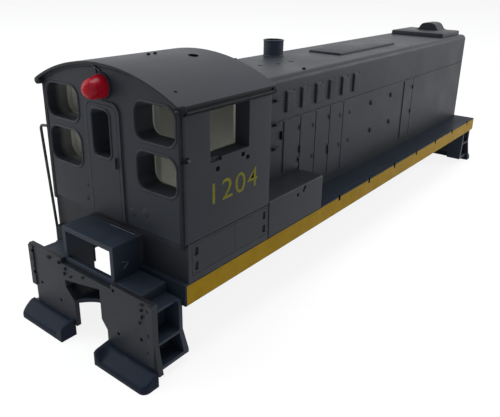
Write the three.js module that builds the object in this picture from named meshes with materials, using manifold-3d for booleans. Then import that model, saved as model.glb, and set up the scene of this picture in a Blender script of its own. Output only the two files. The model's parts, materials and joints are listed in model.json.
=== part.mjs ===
// Body shell of a model end-cab switcher locomotive, about 1:87.
// X runs from the cab end to the hood end, Y across, Z up, in millimetres.
// The near side is at negative Y. The shell stands on its four footboards.

import * as THREE from 'three';
import { mergeVertices } from 'three/addons/utils/BufferGeometryUtils.js';
import Module from 'manifold-3d';

const wasm = await Module();
wasm.setup();

// Whole shell
const deckLength = 143.7;
const deckWidth = 35;
const deckHeight = 15.55;
const moulding = 1.2; // wall of the hood moulding and of the cab's front
const cabWall = 3.5; // cab sides, thick round the windows
const cabEndWall = 4; // cab end, thick round the windows and the door
const sheet = 0.9; // thickness of plates, treads and roof
const fitGap = 0.1; // round a piece let into another
const seatGap = 0.05; // under a curved seat
const overrun = 1; // how far a cutter passes its work
const weld = 0.0001; // distance at which shared points merge
const arcSteps = 24; // facets of a large arc
const cornerSteps = 5; // facets of a rounded corner
const roundSteps = 24; // facets of a round piece
const smallRoundSteps = 12; // facets of a small round piece

// Deck and sills
const deckThickness = 1.2;
const sillThickness = 1.2;
const sillDepth = 3.9;
const skirtThickness = 1.1;
const skirtGateSplay = 2; // the skirt's gate is wider than the coupler pocket by this on each side
const endSill = 0.35; // thickness of the plate across the deck's cab end
const stanchionPitch = 14.6;
const firstStanchion = 48.6;
const stanchionCount = 7;
const stanchionSlotWidth = 0.9;
const stanchionSlotDepth = 0.5;
const stanchionSlotHeight = 1.1;

// Cab
const cabLength = 22;
const cabCornerRadius = 0.5;
const roofRadius = 37.4;
const roofApexHeight = 48.95;
const roofHalfWidth = 17.75;
const roofOverhang = 0.95;
const roofFrontOverhang = 0.5;
const roofLip = 0.45; // thickness of the roof's lip over the end wall
const gutterHeight = 1;
const gutterDepth = 0.6;
const gutterLip = 0.25;
const gutterRise = 0.58; // top of the gutter above the cab wall
const gutterInset = 0.3;
const hornHoleRadius = 0.3;
const hornHoleShares = [[0.468, 0.03], [0.541, 0.034], [0.073, -0.834]];
const roofSlotLength = 1.9;
const roofSlotWidth = 0.8;
const roofSlotShares = [0.768, -0.28];

// Cab end windows
const endWindowInner = 7.2;
const endWindowOuter = 15.9;
const endWindowRadius = 1.9;
const upperWindowShares = [0.799, 1.0134]; // of the eave's height, as all such shares below
const lowerWindowShares = [0.5076, 0.7328];
const gasketWidth = 0.35;
const gasketProud = 0.12;

// Cab door
const doorCentre = 0.7;
const doorWidth = 7.6;
const doorMarkerGap = 0.75; // door opening to the marker light's base
const doorRadius = 1.3;
const doorProud = 0.3;
const doorFrameWidth = 0.6;
const doorFrameProud = 0.3;
const doorWindowCentre = 1;
const doorWindowWidth = 4.4;
const doorWindowShares = [0.631, 0.915];
const doorWindowRadius = 1.2;
const handleShare = 0.5791;
const handleLength = 1.9;
const handleWidth = 0.4;
const handleProud = 0.45;
const handleInset = 0.5;

// Cab sides
const sideWindowStart = 5.85;
const sideWindowEnd = 15.6;
const sideWindowShares = [0.6953, 0.9831];
const sideWindowRadius = 0.3;
const beltShare = 0.2413;
const endRecess = 0.55; // cab end wall below the belt
const thinWallStart = 17.4; // from here to the front wall the sides are thin
const grooveWidth = 0.22;
const grooveDepth = 0.22;
const restSlotWidth = 0.9;
const restSlotHeight = 0.8;
const restSlotDepth = 0.6;
const restSlotShares = [[0.345, 0.905], [0.695, 0.91], [0.636, 0.951]];
const restNotchLength = 2.7;
const restNotchHeight = 0.55;
const railHoleRadius = 0.5;
const railHoleInset = 0.75;
const railHoleShare = 0.7382;
const railHoleDepth = 0.6;
const frontWindowInner = 12.5;
const frontWindowOuter = 15.9;
const frontWindowShares = [0.7686, 0.9831];
const frontWindowRadius = 0.8;

// Battery doors, let flush into the cab sides below the belt
const batteryStart = 1.4;
const batterySplit = 12;
const batteryEnd = 21.3;
const batteryBottom = 1.2;
const batteryTopDrop = 0.4; // below the belt
const batteryRecess = 0.55;
const batteryLatchWidth = 0.9;
const batteryLatchHeight = 1.5;
const batteryLatchDepth = 0.3;
const batteryLatchInset = 0.5;

// Toolboxes on the walkway ahead of the cab
const toolboxLength = 18.9;
const toolboxHeight = 7.25;
const toolboxWall = 1;
const toolboxEdge = 0.3;
const toolboxHoleRadius = 0.4;
const toolboxHoleShares = [[0.619, 0.834], [0.508, 0.779], [0.64, 0.91]];

// Marker light over the cab door
const markerDrop = 3.8; // below the roof's apex
const markerAcross = 0.1;
const markerBaseRadius = 2.25;
const markerBaseLength = 0.9;
const markerRadius = 1.95;
const markerLength = 3.9;
const markerSkirtShare = 0.42;

// Wires
const wireRadius = 0.27;
const wireSteps = 60;
const wireReach = 3.1;
const wireDroop = 0.35; // fall of the wire's upper run
const wireTopShare = 0.706;
const wireBend = 0.9;
const wireFootInset = 0.2;
const stubLength = 1.1;

// Hood
const hoodLength = 120.4;
const hoodHalfWidth = 11;
const hoodRoofDrop = 5.4; // below the cab roof's apex
const hoodShoulder = 1.35;
const hoodMouldingTop = 1.1;
const louvreStart = 13.5;
const louvrePitch = 5.6;
const louvreWidth = 3;
const louvreCount = 6;
const louvreTopDrop = 3.1; // below the hood's roof, as are the other drops here
const louvreHeight = 4.3;
const louvreProud = 0.35;
const louvreSlats = 5;
const louvreSlatShare = 0.45;
const hoodBeltDrop = 8.95;
const hoodDoorPitch = 6.1;
const hoodDoorGap = 0.3;
const hoodDoorBottom = 2.2;
const hoodDoorTopDrop = 9.2;
const hoodDoorProud = 0.2;
const hoodDoorStart = 13.2;
const hoodDoorCount = 5;
const foreDoorStart = 72.4;
const foreDoorCount = 2;
const latchWidth = 0.55;
const latchHeight = 1;
const latchProud = 0.3;
const latchRise = 1; // above the toolbox doors' lower edge
const latchDrop = 2.85; // below the doors' top
const sideStepPlace = 9.4;
const sideStepLength = 1.8;
const sideStepHeight = 0.9;
const sideStepProud = 0.9;
const sideStepRiseShares = [0.504, 0.682, 0.854];
const liftHoleRadius = 0.45;
const liftHoleAcross = 9.3;
const liftHoleStart = 22.4;
const liftSlotPlace = 77;
const liftSlotAcross = 9.7;
const tickLength = 1.5;
const tickWidth = 0.35;
const tickShares = [[0.1645, 0.027], [0.2442, -0.109]];

// Roof fittings of the hood
const hatchStart = 46;
const hatchLength = 31.6;
const hatchHalfWidth = 4.6;
const hatchHeight = 0.5;
const hatchEdge = 0.2;
const radiatorStart = 104.4;
const radiatorLength = 15.9;
const radiatorHalfWidth = 8.8;
const radiatorHeight = 1.3;
const radiatorEdge = 0.35;
const headlightHalfWidth = 4.2;
const headlightHeight = 2.35;
const headlightStart = 113.9;
const headlightLength = 6.4;
const fairingShares = [0.72, 0.52, 0.36, 0.18];
const fairingRiseShares = [0.5, 0.8];
const headlightBore = 0.95;
const headlightBoreDepth = 1.2;
const stackPlace = 33.7;
const stackAcross = 6.8;
const stackRadius = 2.5;
const stackBore = 2;
const stackBoreDepth = 2.4;
const stackHeight = 3.85;
const stackLip = 0.15;
const grilleHalfWidth = 7.4;
const grilleBottom = 5.2;
const grilleTopDrop = 3.4;
const grilleFrame = 0.7;
const grilleSlats = 13;
const grilleSlatShare = 0.4;
const grilleSlatTurn = 0.5; // radians
const grilleBar = 0.6;

// Rear end: coupler pocket, platforms, pilot, steps and footboards
const pilotReach = 6.7; // cab wall to the pilot's face
const pocketReach = 5.8;
const pocketHalfWidth = 6.8;
const pocketHeight = 20.8;
const pocketDrop = 9.3; // height of the lower edge of the pocket's walls
const pocketLipHeight = 1.1;
const pocketLipBottom = 13.7;
const platformHeight = 14.6;
const platformHalfWidth = 12.3;
const topTreadHeight = 12.8;
const topTreadHalfWidth = 16;
const pilotHalfWidth = 16.75;
const pilotFlare = 0.9;
const pilotNotchTop = 5.85; // notch in the far edge of the rear plate
const pilotNotchBottom = 2.5;
const pilotNotchDepth = 1;
const pilotFlareHeight = 7.4;
const pilotRib = 1.3;
const pilotRibProud = 0.25;
const boltRadius = 0.35;
const boltDepth = 0.35;
const boltShares = [[0.93, 0.9], [0.93, 0.55], [0.82, 0.42], [0.44, 0.93], [0.48, 0.3]];
const mouthNear = 3.75;
const mouthFar = 6.1;
const mouthFloor = 7.1;
const mouthRoofNear = 12.5;
const mouthRoofFar = 10.6;
const mouthSlope = 2.2; // rise of the mouth's slanted far edge
const throatHalfWidth = 3.8;
const throatShoulder = 6.8;
const throatFootHalfWidth = 5.1;
const throatFootHeight = 5.2;
const footboardReach = 3.15;
const footboardOuter = 17.4;
const footboardInnerFar = 4.2;
const footboardCorner = 1.2;
const plankHeight = 1.3;
const plankEdge = 0.4;
const riserHeight = 3; // board behind the plank
const riserThickness = 0.8;
const endWallHeight = 3.2; // wall at the plank's inner end
const endWallFront = 2.7;
const endWallThickness = 0.75;
const pilotFoot = 1.9;
const treadHeight = 7.3;
const treadThickness = 0.5;
const lowTread = 2.6;
const stringerFoot = 0.9; // how far the stringer's foot reaches past the deck's end
const stringerWidth = 0.8;
const trayThickness = 0.8;
const trayBack = 1.3;
const trayNotch = 2.6;
const trayNotchHalfWidth = 3.9;
const trayRibWidth = 0.5;
const trayRibHeight = 1.1;
const trayRibLength = 3.4;
const trayRibAcross = 4;
const trayRibTurn = 0.36; // radians

// Front end
const frontStepLength = 5.5;
const frontFootboardReach = 3.45;
const frontThroat = 4.6;
const frontThroatHeight = 8.2;

// Colours of the painted and moulded pieces
const paint = { color: 0x2f333a, roughness: 0.45, metalness: 0 };
const darkPaint = { color: 0x2a3038, roughness: 0.45, metalness: 0 };
const yellowPaint = { color: 0xc99a12, roughness: 0.5, metalness: 0 };
const redGlass = { color: 0xb01820, roughness: 0.12, metalness: 0 };
const clearGlass = { color: 0xe8e6dc, roughness: 0.05, metalness: 0 };
const wire = { color: 0x3a3a3a, roughness: 0.4, metalness: 0.8 };

// Values that follow from the ones above
const halfDeck = deckWidth / 2;
const sillBottom = deckHeight - sillDepth;
const insideSill = halfDeck - sillThickness;
const roofApex = roofApexHeight - deckHeight;
const roofCentre = roofApex - roofRadius;
const roofInner = roofRadius - sheet;
const wallArc = roofInner - seatGap; // radius of the cab walls' curved top
const eave = roofCentre + Math.sqrt(wallArc ** 2 - halfDeck ** 2);
const cabInner = halfDeck - cabWall;
const thinInner = halfDeck - moulding;
const [upperWindowBottom, upperWindowTop] = upperWindowShares.map((share) => share * eave);
const [lowerWindowBottom, lowerWindowTop] = lowerWindowShares.map((share) => share * eave);
const [doorWindowBottom, doorWindowTop] = doorWindowShares.map((share) => share * eave);
const [sideWindowBottom, sideWindowTop] = sideWindowShares.map((share) => share * eave);
const [frontWindowBottom, frontWindowTop] = frontWindowShares.map((share) => share * eave);
const doorBottom = beltShare * eave;
const handleHeight = handleShare * eave;
const beltHeight = beltShare * eave;
const batteryTop = beltHeight - batteryTopDrop;
const railHoleHeight = railHoleShare * eave;
const wireTop = wireTopShare * eave;
const markerHeight = roofApex - markerDrop;
const doorTop = markerHeight - markerBaseRadius - doorMarkerGap;
const hoodRoofHeight = roofApex - hoodRoofDrop;
const louvreTop = hoodRoofHeight - louvreTopDrop;
const louvreBottom = louvreTop - louvreHeight;
const hoodBelt = hoodRoofHeight - hoodBeltDrop;
const hoodDoorTop = hoodRoofHeight - hoodDoorTopDrop;
const boxedDoorBottom = toolboxHeight + hoodDoorGap * 2;
const latchHeights = [boxedDoorBottom + latchRise, hoodDoorTop - latchDrop];
const grilleTop = hoodRoofHeight - grilleTopDrop;
const hoodInner = hoodHalfWidth - moulding;
const hoodFrontInner = hoodLength - moulding;
const hoodEnd = cabLength + hoodLength;
const cabTop = roofApex + overrun;

// Conversion between three.js geometry and solids

function solidOf(geometry) {
  const bare = geometry.clone();
  bare.deleteAttribute('normal');
  bare.deleteAttribute('uv');
  const merged = mergeVertices(bare, weld);
  return new wasm.Manifold(new wasm.Mesh({
    numProp: 3,
    vertProperties: new Float32Array(merged.attributes.position.array),
    triVerts: new Uint32Array(merged.index.array),
  }));
}

function geometryOf(solid) {
  const mesh = solid.getMesh();
  const geometry = new THREE.BufferGeometry();
  geometry.setAttribute('position', new THREE.BufferAttribute(mesh.vertProperties, mesh.numProp));
  geometry.setIndex(new THREE.BufferAttribute(mesh.triVerts, 1));
  geometry.computeVertexNormals();
  return geometry;
}

function mirrored(geometry) {
  const copy = geometry.clone();
  copy.scale(1, -1, 1);
  const index = copy.index.array;
  for (let i = 0; i < index.length; i += 3) {
    const first = index[i];
    index[i] = index[i + 2];
    index[i + 2] = first;
  }
  copy.computeVertexNormals();
  return copy;
}

// Outlines

function outline(points) {
  return new THREE.Shape(points.map(([u, v]) => new THREE.Vector2(u, v)));
}

function rounded(u0, u1, v0, v1, radius) {
  const shape = new THREE.Shape();
  shape.moveTo(u0 + radius, v0);
  shape.lineTo(u1 - radius, v0);
  shape.absarc(u1 - radius, v0 + radius, radius, -Math.PI / 2, 0, false);
  shape.lineTo(u1, v1 - radius);
  shape.absarc(u1 - radius, v1 - radius, radius, 0, Math.PI / 2, false);
  shape.lineTo(u0 + radius, v1);
  shape.absarc(u0 + radius, v1 - radius, radius, Math.PI / 2, Math.PI, false);
  shape.lineTo(u0, v0 + radius);
  shape.absarc(u0 + radius, v0 + radius, radius, Math.PI, Math.PI * 1.5, false);
  return shape;
}

// Area under an arc, standing on height v0, for half-width w
function archShape(w, v0, centre, radius) {
  const angle = Math.acos(w / radius);
  const shape = new THREE.Shape();
  shape.moveTo(-w, v0);
  shape.lineTo(w, v0);
  shape.lineTo(w, centre + radius * Math.sin(angle));
  shape.absarc(0, centre, radius, angle, Math.PI - angle, false);
  return shape;
}

// Prisms along each axis

const turnToX = new THREE.Matrix4().makeBasis(
  new THREE.Vector3(0, 1, 0), new THREE.Vector3(0, 0, 1), new THREE.Vector3(1, 0, 0));
const turnToY = new THREE.Matrix4().makeBasis(
  new THREE.Vector3(1, 0, 0), new THREE.Vector3(0, 0, 1), new THREE.Vector3(0, -1, 0));

function prism(shape, depth, curveSegments) {
  return new THREE.ExtrudeGeometry(shape, { depth, bevelEnabled: false, curveSegments, steps: 1 });
}

function alongX(shape, x0, x1, curveSegments = cornerSteps) {
  const geometry = prism(shape, x1 - x0, curveSegments).applyMatrix4(turnToX);
  return solidOf(geometry.translate(x0, 0, 0));
}

function alongY(shape, y0, y1, curveSegments = cornerSteps) {
  const geometry = prism(shape, y1 - y0, curveSegments).applyMatrix4(turnToY);
  return solidOf(geometry.translate(0, y1, 0));
}

function alongZ(shape, z0, z1, curveSegments = cornerSteps) {
  return solidOf(prism(shape, z1 - z0, curveSegments).translate(0, 0, z0));
}

function block(x0, x1, y0, y1, z0, z1) {
  const geometry = new THREE.BoxGeometry();
  const corners = geometry.attributes.position;
  for (let i = 0; i < corners.count; i += 1) {
    const x = corners.getX(i) < 0 ? x0 : x1;
    const y = corners.getY(i) < 0 ? y0 : y1;
    corners.setXYZ(i, x, y, corners.getZ(i) < 0 ? z0 : z1);
  }
  return solidOf(geometry);
}

function rodY(x, z, radius, y0, y1) {
  const geometry = new THREE.CylinderGeometry(radius, radius, y1 - y0, smallRoundSteps);
  return solidOf(geometry.translate(x, (y0 + y1) / 2, z));
}

function rodZ(x, y, radius, z0, z1, sides = smallRoundSteps) {
  const geometry = new THREE.CylinderGeometry(radius, radius, z1 - z0, sides);
  return solidOf(geometry.rotateX(Math.PI / 2).translate(x, y, (z0 + z1) / 2));
}

function rodX(y, z, radius, x0, x1, sides = smallRoundSteps) {
  const geometry = new THREE.CylinderGeometry(radius, radius, x1 - x0, sides);
  return solidOf(geometry.rotateZ(Math.PI / 2).translate((x0 + x1) / 2, y, z));
}

// Slab with a bevelled upper edge, its foot at z0
function cappedSlab(x0, x1, halfWidth, z0, height, edge) {
  const shape = rounded(x0 + edge, x1 - edge, -halfWidth + edge, halfWidth - edge, edge);
  const geometry = new THREE.ExtrudeGeometry(shape, {
    depth: height, bevelEnabled: true, bevelThickness: edge, bevelSize: edge, bevelSegments: 2,
    curveSegments: 2, steps: 1,
  });
  const full = solidOf(geometry.translate(0, 0, z0 - edge));
  return full.subtract(block(x0 - overrun, x1 + overrun, -halfWidth - overrun, halfWidth + overrun,
    z0 - overrun - edge, z0));
}

function joined(solids) {
  return solids.reduce((sum, solid) => sum.add(solid));
}

// Placing

function mesh(name, geometry, look) {
  const piece = new THREE.Mesh(geometry, new THREE.MeshStandardMaterial(look));
  piece.name = name;
  return piece;
}

function pair(group, name, suffix, solid, look) {
  const near = geometryOf(solid);
  group.add(mesh(`${name}_near${suffix}`, near, look));
  group.add(mesh(`${name}_far${suffix}`, mirrored(near), look));
}

// Underframe

function deckPlate() {
  const floor = deckHeight - deckThickness;
  const pocketWidth = pocketHalfWidth - sheet;
  const skirtGate = pocketWidth + skirtGateSplay;
  let plate = block(0, deckLength, -insideSill, insideSill, floor, deckHeight);
  plate = plate.add(block(-endSill, 0, -halfDeck, halfDeck, sillBottom, deckHeight));
  for (const [y0, y1] of [[-insideSill, -skirtGate], [skirtGate, insideSill]]) {
    plate = plate.add(block(-endSill / 2, skirtThickness, y0, y1, sillBottom, deckHeight));
  }
  plate = plate.add(block(deckLength - skirtThickness, deckLength, -insideSill, insideSill,
    sillBottom, deckHeight));
  const cabWell = block(cabEndWall, cabLength, -cabInner, cabInner,
    floor - overrun, deckHeight + overrun);
  const hoodWell = block(cabLength - moulding - overrun, hoodEnd - moulding, -hoodInner, hoodInner,
    floor - overrun, deckHeight + overrun);
  const pocketGate = block(-overrun, cabEndWall + overrun, -pocketWidth, pocketWidth,
    sillBottom - overrun, deckHeight + overrun);
  return plate.subtract(cabWell).subtract(hoodWell).subtract(pocketGate);
}

function sill() {
  const outer = -halfDeck;
  let bar = block(0, deckLength, outer, outer + sillThickness, sillBottom, deckHeight);
  for (let i = 0; i < stanchionCount; i += 1) {
    const x = firstStanchion + i * stanchionPitch;
    bar = bar.subtract(block(x, x + stanchionSlotWidth, outer - overrun, outer + stanchionSlotDepth,
      deckHeight - stanchionSlotHeight, deckHeight + overrun));
  }
  return bar;
}

function toolbox() {
  const inner = -hoodHalfWidth;
  const outer = -halfDeck;
  const x1 = cabLength + toolboxLength;
  const body = rounded(outer, inner + toolboxEdge, -toolboxHeight, toolboxHeight, toolboxEdge);
  let box = alongX(body, cabLength, x1, 2)
    .intersect(block(cabLength, x1, outer, inner, 0, toolboxHeight + overrun));
  box = box.subtract(block(cabLength + toolboxWall, x1 - toolboxWall, outer + toolboxWall,
    inner - toolboxWall, -overrun, toolboxHeight - toolboxWall));
  for (const [along, up] of toolboxHoleShares) {
    box = box.subtract(rodY(cabLength + along * toolboxLength, up * toolboxHeight,
      toolboxHoleRadius, outer - overrun, outer + toolboxWall / 2));
  }
  return box;
}

// Cab

function endWindow(bottom, top, grow) {
  return rounded(endWindowInner - grow, endWindowOuter + grow, bottom - grow, top + grow,
    endWindowRadius + grow);
}

function doorOpening(grow) {
  const half = doorWidth / 2 + grow;
  return rounded(doorCentre - half, doorCentre + half, doorBottom - doorRadius * 2,
    doorTop + grow, doorRadius + grow);
}

function cabShell() {
  let shell = alongX(archShape(halfDeck, 0, roofCentre, wallArc), 0, cabLength, arcSteps);
  shell = shell.intersect(alongZ(
    rounded(0, cabLength, -halfDeck, halfDeck, cabCornerRadius), -overrun, cabTop, 3));
  // raised door frame on the end wall
  const frame = alongX(doorOpening(doorFrameWidth), -doorFrameProud, cabEndWall)
    .intersect(block(-overrun, cabEndWall, -halfDeck, halfDeck, doorBottom, doorTop + overrun));
  shell = shell.add(frame);
  shell = shell.subtract(block(cabEndWall, cabLength - moulding, -cabInner, cabInner,
    -overrun, cabTop));
  shell = shell.subtract(block(thinWallStart, cabLength - moulding, -thinInner, thinInner,
    -overrun, cabTop));
  // end wall openings
  const ends = [[upperWindowBottom, upperWindowTop], [lowerWindowBottom, lowerWindowTop]];
  for (const [bottom, top] of ends) {
    const cutter = alongX(endWindow(bottom, top, 0), -overrun, cabEndWall + overrun);
    shell = shell.subtract(cutter);
    shell = shell.subtract(solidOf(mirrored(geometryOf(cutter))));
  }
  const doorway = alongX(doorOpening(0), -overrun, cabEndWall + overrun)
    .intersect(block(-overrun, cabEndWall + overrun, -halfDeck, halfDeck, doorBottom,
      doorTop + overrun));
  shell = shell.subtract(doorway);
  // below the belt the end wall stands back, except over the coupler pocket
  const recess = block(-overrun, endRecess, -halfDeck - overrun, halfDeck + overrun, -overrun,
    beltHeight).subtract(block(-overrun, endRecess, -pocketHalfWidth, pocketHalfWidth, -overrun,
    pocketHeight - deckHeight));
  shell = shell.subtract(recess);
  const gate = pocketHalfWidth - sheet;
  shell = shell.subtract(block(-overrun, cabEndWall + overrun, -gate, gate, -overrun,
    pocketHeight - sheet - deckHeight));
  // front wall: passage to the hood and two windows
  const x0 = cabLength - moulding - overrun;
  const x1 = cabLength + overrun;
  shell = shell.subtract(block(x0, x1, -hoodInner, hoodInner, -overrun,
    hoodRoofHeight - hoodMouldingTop - moulding));
  const frontWindow = alongX(rounded(frontWindowInner, frontWindowOuter, frontWindowBottom,
    frontWindowTop, frontWindowRadius), x0, x1);
  shell = shell.subtract(frontWindow).subtract(solidOf(mirrored(geometryOf(frontWindow))));
  // both sides
  let side = alongY(rounded(sideWindowStart, sideWindowEnd, sideWindowBottom, sideWindowTop,
    sideWindowRadius), -halfDeck - overrun, -cabInner + overrun, 2);
  side = side.add(block(batteryStart - fitGap, batteryEnd + fitGap, -halfDeck - overrun,
    -halfDeck + batteryRecess, batteryBottom - fitGap, batteryTop + fitGap));
  side = side.add(block(-overrun, cabLength + overrun, -halfDeck - overrun,
    -halfDeck + grooveDepth, beltHeight, beltHeight + grooveWidth));
  for (const [along, up] of restSlotShares) {
    const x = along * cabLength;
    const z = up * sideWindowBottom;
    side = side.add(block(x - restSlotWidth / 2, x + restSlotWidth / 2, -halfDeck - overrun,
      -halfDeck + restSlotDepth, z - restSlotHeight / 2, z + restSlotHeight / 2));
  }
  side = side.add(block(sideWindowStart, sideWindowStart + restNotchLength, -halfDeck - overrun,
    -halfDeck + restSlotDepth, sideWindowBottom - restNotchHeight, sideWindowBottom + fitGap));
  shell = shell.subtract(side).subtract(solidOf(mirrored(geometryOf(side))));
  // holes that take the corner handrails
  shell = shell.subtract(rodY(railHoleInset, railHoleHeight, railHoleRadius, -halfDeck - overrun,
    -halfDeck + railHoleDepth));
  return shell.subtract(rodY(railHoleInset, wireTop, railHoleRadius, halfDeck - railHoleDepth,
    halfDeck + overrun));
}

function cabRoof() {
  const angle = Math.acos(roofHalfWidth / roofRadius);
  const inner = Math.acos(roofHalfWidth / roofInner);
  const shape = new THREE.Shape();
  shape.absarc(0, roofCentre, roofRadius, angle, Math.PI - angle, false);
  shape.absarc(0, roofCentre, roofInner, Math.PI - inner, inner, true);
  let roof = alongX(shape, 0, cabLength + roofFrontOverhang, arcSteps);
  // thin lip in front of the end wall
  const lip = new THREE.Shape();
  const lipRadius = roofRadius - roofLip;
  const lipAngle = Math.acos(roofHalfWidth / lipRadius);
  lip.absarc(0, roofCentre, roofRadius, angle, Math.PI - angle, false);
  lip.absarc(0, roofCentre, lipRadius, Math.PI - lipAngle, lipAngle, true);
  roof = roof.add(alongX(lip, -roofOverhang, sheet, arcSteps));
  for (const [along, across] of hornHoleShares) {
    roof = roof.subtract(rodZ(along * cabLength, across * halfDeck, hornHoleRadius, 0, cabTop));
  }
  const slotX = roofSlotShares[0] * cabLength;
  const slotY = roofSlotShares[1] * halfDeck;
  const slot = rounded(slotX - roofSlotWidth / 2, slotX + roofSlotWidth / 2,
    slotY - roofSlotLength / 2, slotY + roofSlotLength / 2, roofSlotWidth / 3);
  return roof.subtract(alongZ(slot, 0, cabTop, 3));
}

// Channel along the eave, open at the top
function gutter() {
  const top = eave + gutterRise;
  const outer = -halfDeck - gutterDepth;
  const bottom = top - gutterHeight;
  const section = outline([
    [outer, bottom], [-halfDeck, bottom], [-halfDeck, bottom + gutterLip],
    [outer + gutterLip, bottom + gutterLip], [outer + gutterLip, top - gutterLip],
    [outer, top - gutterLip]]);
  return alongX(section, gutterInset, cabLength - gutterInset);
}

function gasket(opening, grown) {
  return alongX(grown, -gasketProud, 0).subtract(alongX(opening, -gasketProud - overrun, overrun));
}

function cabDoor() {
  const shape = doorOpening(-fitGap);
  let leaf = alongX(shape, -doorProud, cabEndWall)
    .intersect(block(-overrun, cabEndWall, -halfDeck, halfDeck, doorBottom, doorTop + overrun));
  const half = doorWindowWidth / 2;
  const window = rounded(doorWindowCentre - half, doorWindowCentre + half, doorWindowBottom,
    doorWindowTop, doorWindowRadius);
  leaf = leaf.subtract(alongX(window, -overrun, cabEndWall + overrun));
  const edge = doorCentre - doorWidth / 2 + handleInset + handleWidth;
  return leaf.add(block(-doorProud - handleProud, 0, edge - handleWidth, edge, handleHeight,
    handleHeight + handleLength));
}

function doorGasket() {
  const half = doorWindowWidth / 2;
  const inner = rounded(doorWindowCentre - half, doorWindowCentre + half, doorWindowBottom,
    doorWindowTop, doorWindowRadius);
  const wide = half + gasketWidth;
  const outer = rounded(doorWindowCentre - wide, doorWindowCentre + wide,
    doorWindowBottom - gasketWidth, doorWindowTop + gasketWidth, doorWindowRadius + gasketWidth);
  return gasket(inner, outer).translate(-doorProud, 0, 0);
}

function batteryDoor(x0, x1, latchAtStart) {
  const face = -halfDeck;
  let leaf = block(x0, x1, face, face + batteryRecess, batteryBottom, batteryTop);
  const latchX = latchAtStart ? x0 + batteryLatchInset : x1 - batteryLatchInset - batteryLatchWidth;
  for (const z of [batteryBottom + batteryLatchInset,
    batteryTop - batteryLatchInset - batteryLatchHeight]) {
    leaf = leaf.subtract(block(latchX, latchX + batteryLatchWidth, face - overrun,
      face + batteryLatchDepth, z, z + batteryLatchHeight));
  }
  return leaf;
}

// Turned piece on an axis that points to the rear, from [reach, radius] points
function turnedToRear(points, sides) {
  const profile = points.map(([reach, radius]) => new THREE.Vector2(radius, reach));
  const geometry = new THREE.LatheGeometry(profile, sides);
  return geometry.rotateZ(Math.PI / 2);
}

function markerBase() {
  return turnedToRear([[0, 0], [markerBaseLength, 0], [markerBaseLength, markerRadius],
    [markerBaseLength / 2, markerBaseRadius], [0, markerBaseRadius], [0, 0]].reverse(), roundSteps);
}

function markerLens() {
  const skirt = markerLength * markerSkirtShare;
  const dome = markerLength - skirt;
  const points = [[0, 0], [0, markerRadius], [skirt, markerRadius]];
  for (let i = 1; i < cornerSteps * 2; i += 1) {
    const turn = i / (cornerSteps * 2) * Math.PI / 2;
    points.push([skirt + dome * Math.sin(turn), markerRadius * Math.cos(turn)]);
  }
  points.push([markerLength, 0]);
  return turnedToRear(points, roundSteps);
}

// Round wire in straight runs, with a rounded bend at each inner point
function wireAlong(points, sides) {
  const route = new THREE.CurvePath();
  let from = points[0];
  for (let i = 1; i < points.length - 1; i += 1) {
    const corner = points[i];
    const start = from.clone().sub(corner).setLength(wireBend).add(corner);
    const end = points[i + 1].clone().sub(corner).setLength(wireBend).add(corner);
    route.add(new THREE.LineCurve3(from, start));
    route.add(new THREE.QuadraticBezierCurve3(start, corner, end));
    from = end;
  }
  route.add(new THREE.LineCurve3(from, points[points.length - 1]));
  const section = new THREE.Shape();
  section.absarc(0, 0, wireRadius, 0, Math.PI * 2, false);
  return new THREE.ExtrudeGeometry(section, {
    extrudePath: route, steps: wireSteps, curveSegments: sides, bevelEnabled: false,
  });
}

function cornerHandrail() {
  const x = railHoleInset;
  const out = halfDeck + wireReach;
  return wireAlong([
    new THREE.Vector3(x, halfDeck - railHoleDepth / 2, wireTop),
    new THREE.Vector3(x, out, wireTop - wireDroop),
    new THREE.Vector3(-endSill / 2, halfDeck - wireFootInset, seatGap),
  ], 4);
}

// Hood

function hoodSection(inset) {
  const w = hoodHalfWidth - inset;
  const top = hoodRoofHeight - (inset > 0 ? hoodMouldingTop : 0);
  const r = Math.max(hoodShoulder - inset, hoodShoulder / 3);
  const shape = new THREE.Shape();
  shape.moveTo(-w, inset > 0 ? -overrun : 0);
  shape.lineTo(w, inset > 0 ? -overrun : 0);
  shape.lineTo(w, top - r);
  shape.absarc(w - r, top - r, r, 0, Math.PI / 2, false);
  shape.lineTo(-w + r, top);
  shape.absarc(-w + r, top - r, r, Math.PI / 2, Math.PI, false);
  return shape;
}

function hoodDoorRow(start, count, raised) {
  const y0 = -hoodHalfWidth - hoodDoorProud;
  const pieces = [];
  for (let i = 0; i < count; i += 1) {
    const x0 = start + i * hoodDoorPitch;
    const boxed = x0 < toolboxLength;
    const bottom = boxed ? boxedDoorBottom : hoodDoorBottom;
    pieces.push(block(x0, x0 + hoodDoorPitch - hoodDoorGap, y0, -hoodHalfWidth + raised, bottom,
      hoodDoorTop));
    if (i % 2 === 1) {
      for (const z of latchHeights) {
        pieces.push(block(x0 - latchWidth, x0 + latchWidth, y0 - latchProud,
          -hoodHalfWidth + raised, z, z + latchHeight));
      }
    }
  }
  return pieces;
}

// Louvre bank: a raised block whose face is cut into slats
function louvre(x0) {
  const x1 = x0 + louvreWidth;
  const face = -hoodHalfWidth - louvreProud;
  const pitch = (louvreTop - louvreBottom) / louvreSlats;
  let bank = block(x0, x1, face, -hoodHalfWidth + hoodDoorProud, louvreBottom, louvreTop);
  for (let i = 0; i < louvreSlats; i += 1) {
    const z = louvreBottom + i * pitch;
    const slot = outline([[face - overrun, z + pitch * louvreSlatShare],
      [face, z + pitch * louvreSlatShare], [-hoodHalfWidth, z + pitch],
      [face - overrun, z + pitch]]);
    bank = bank.subtract(alongX(slot, x0 + louvreProud, x1 - louvreProud));
  }
  return bank;
}

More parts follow.
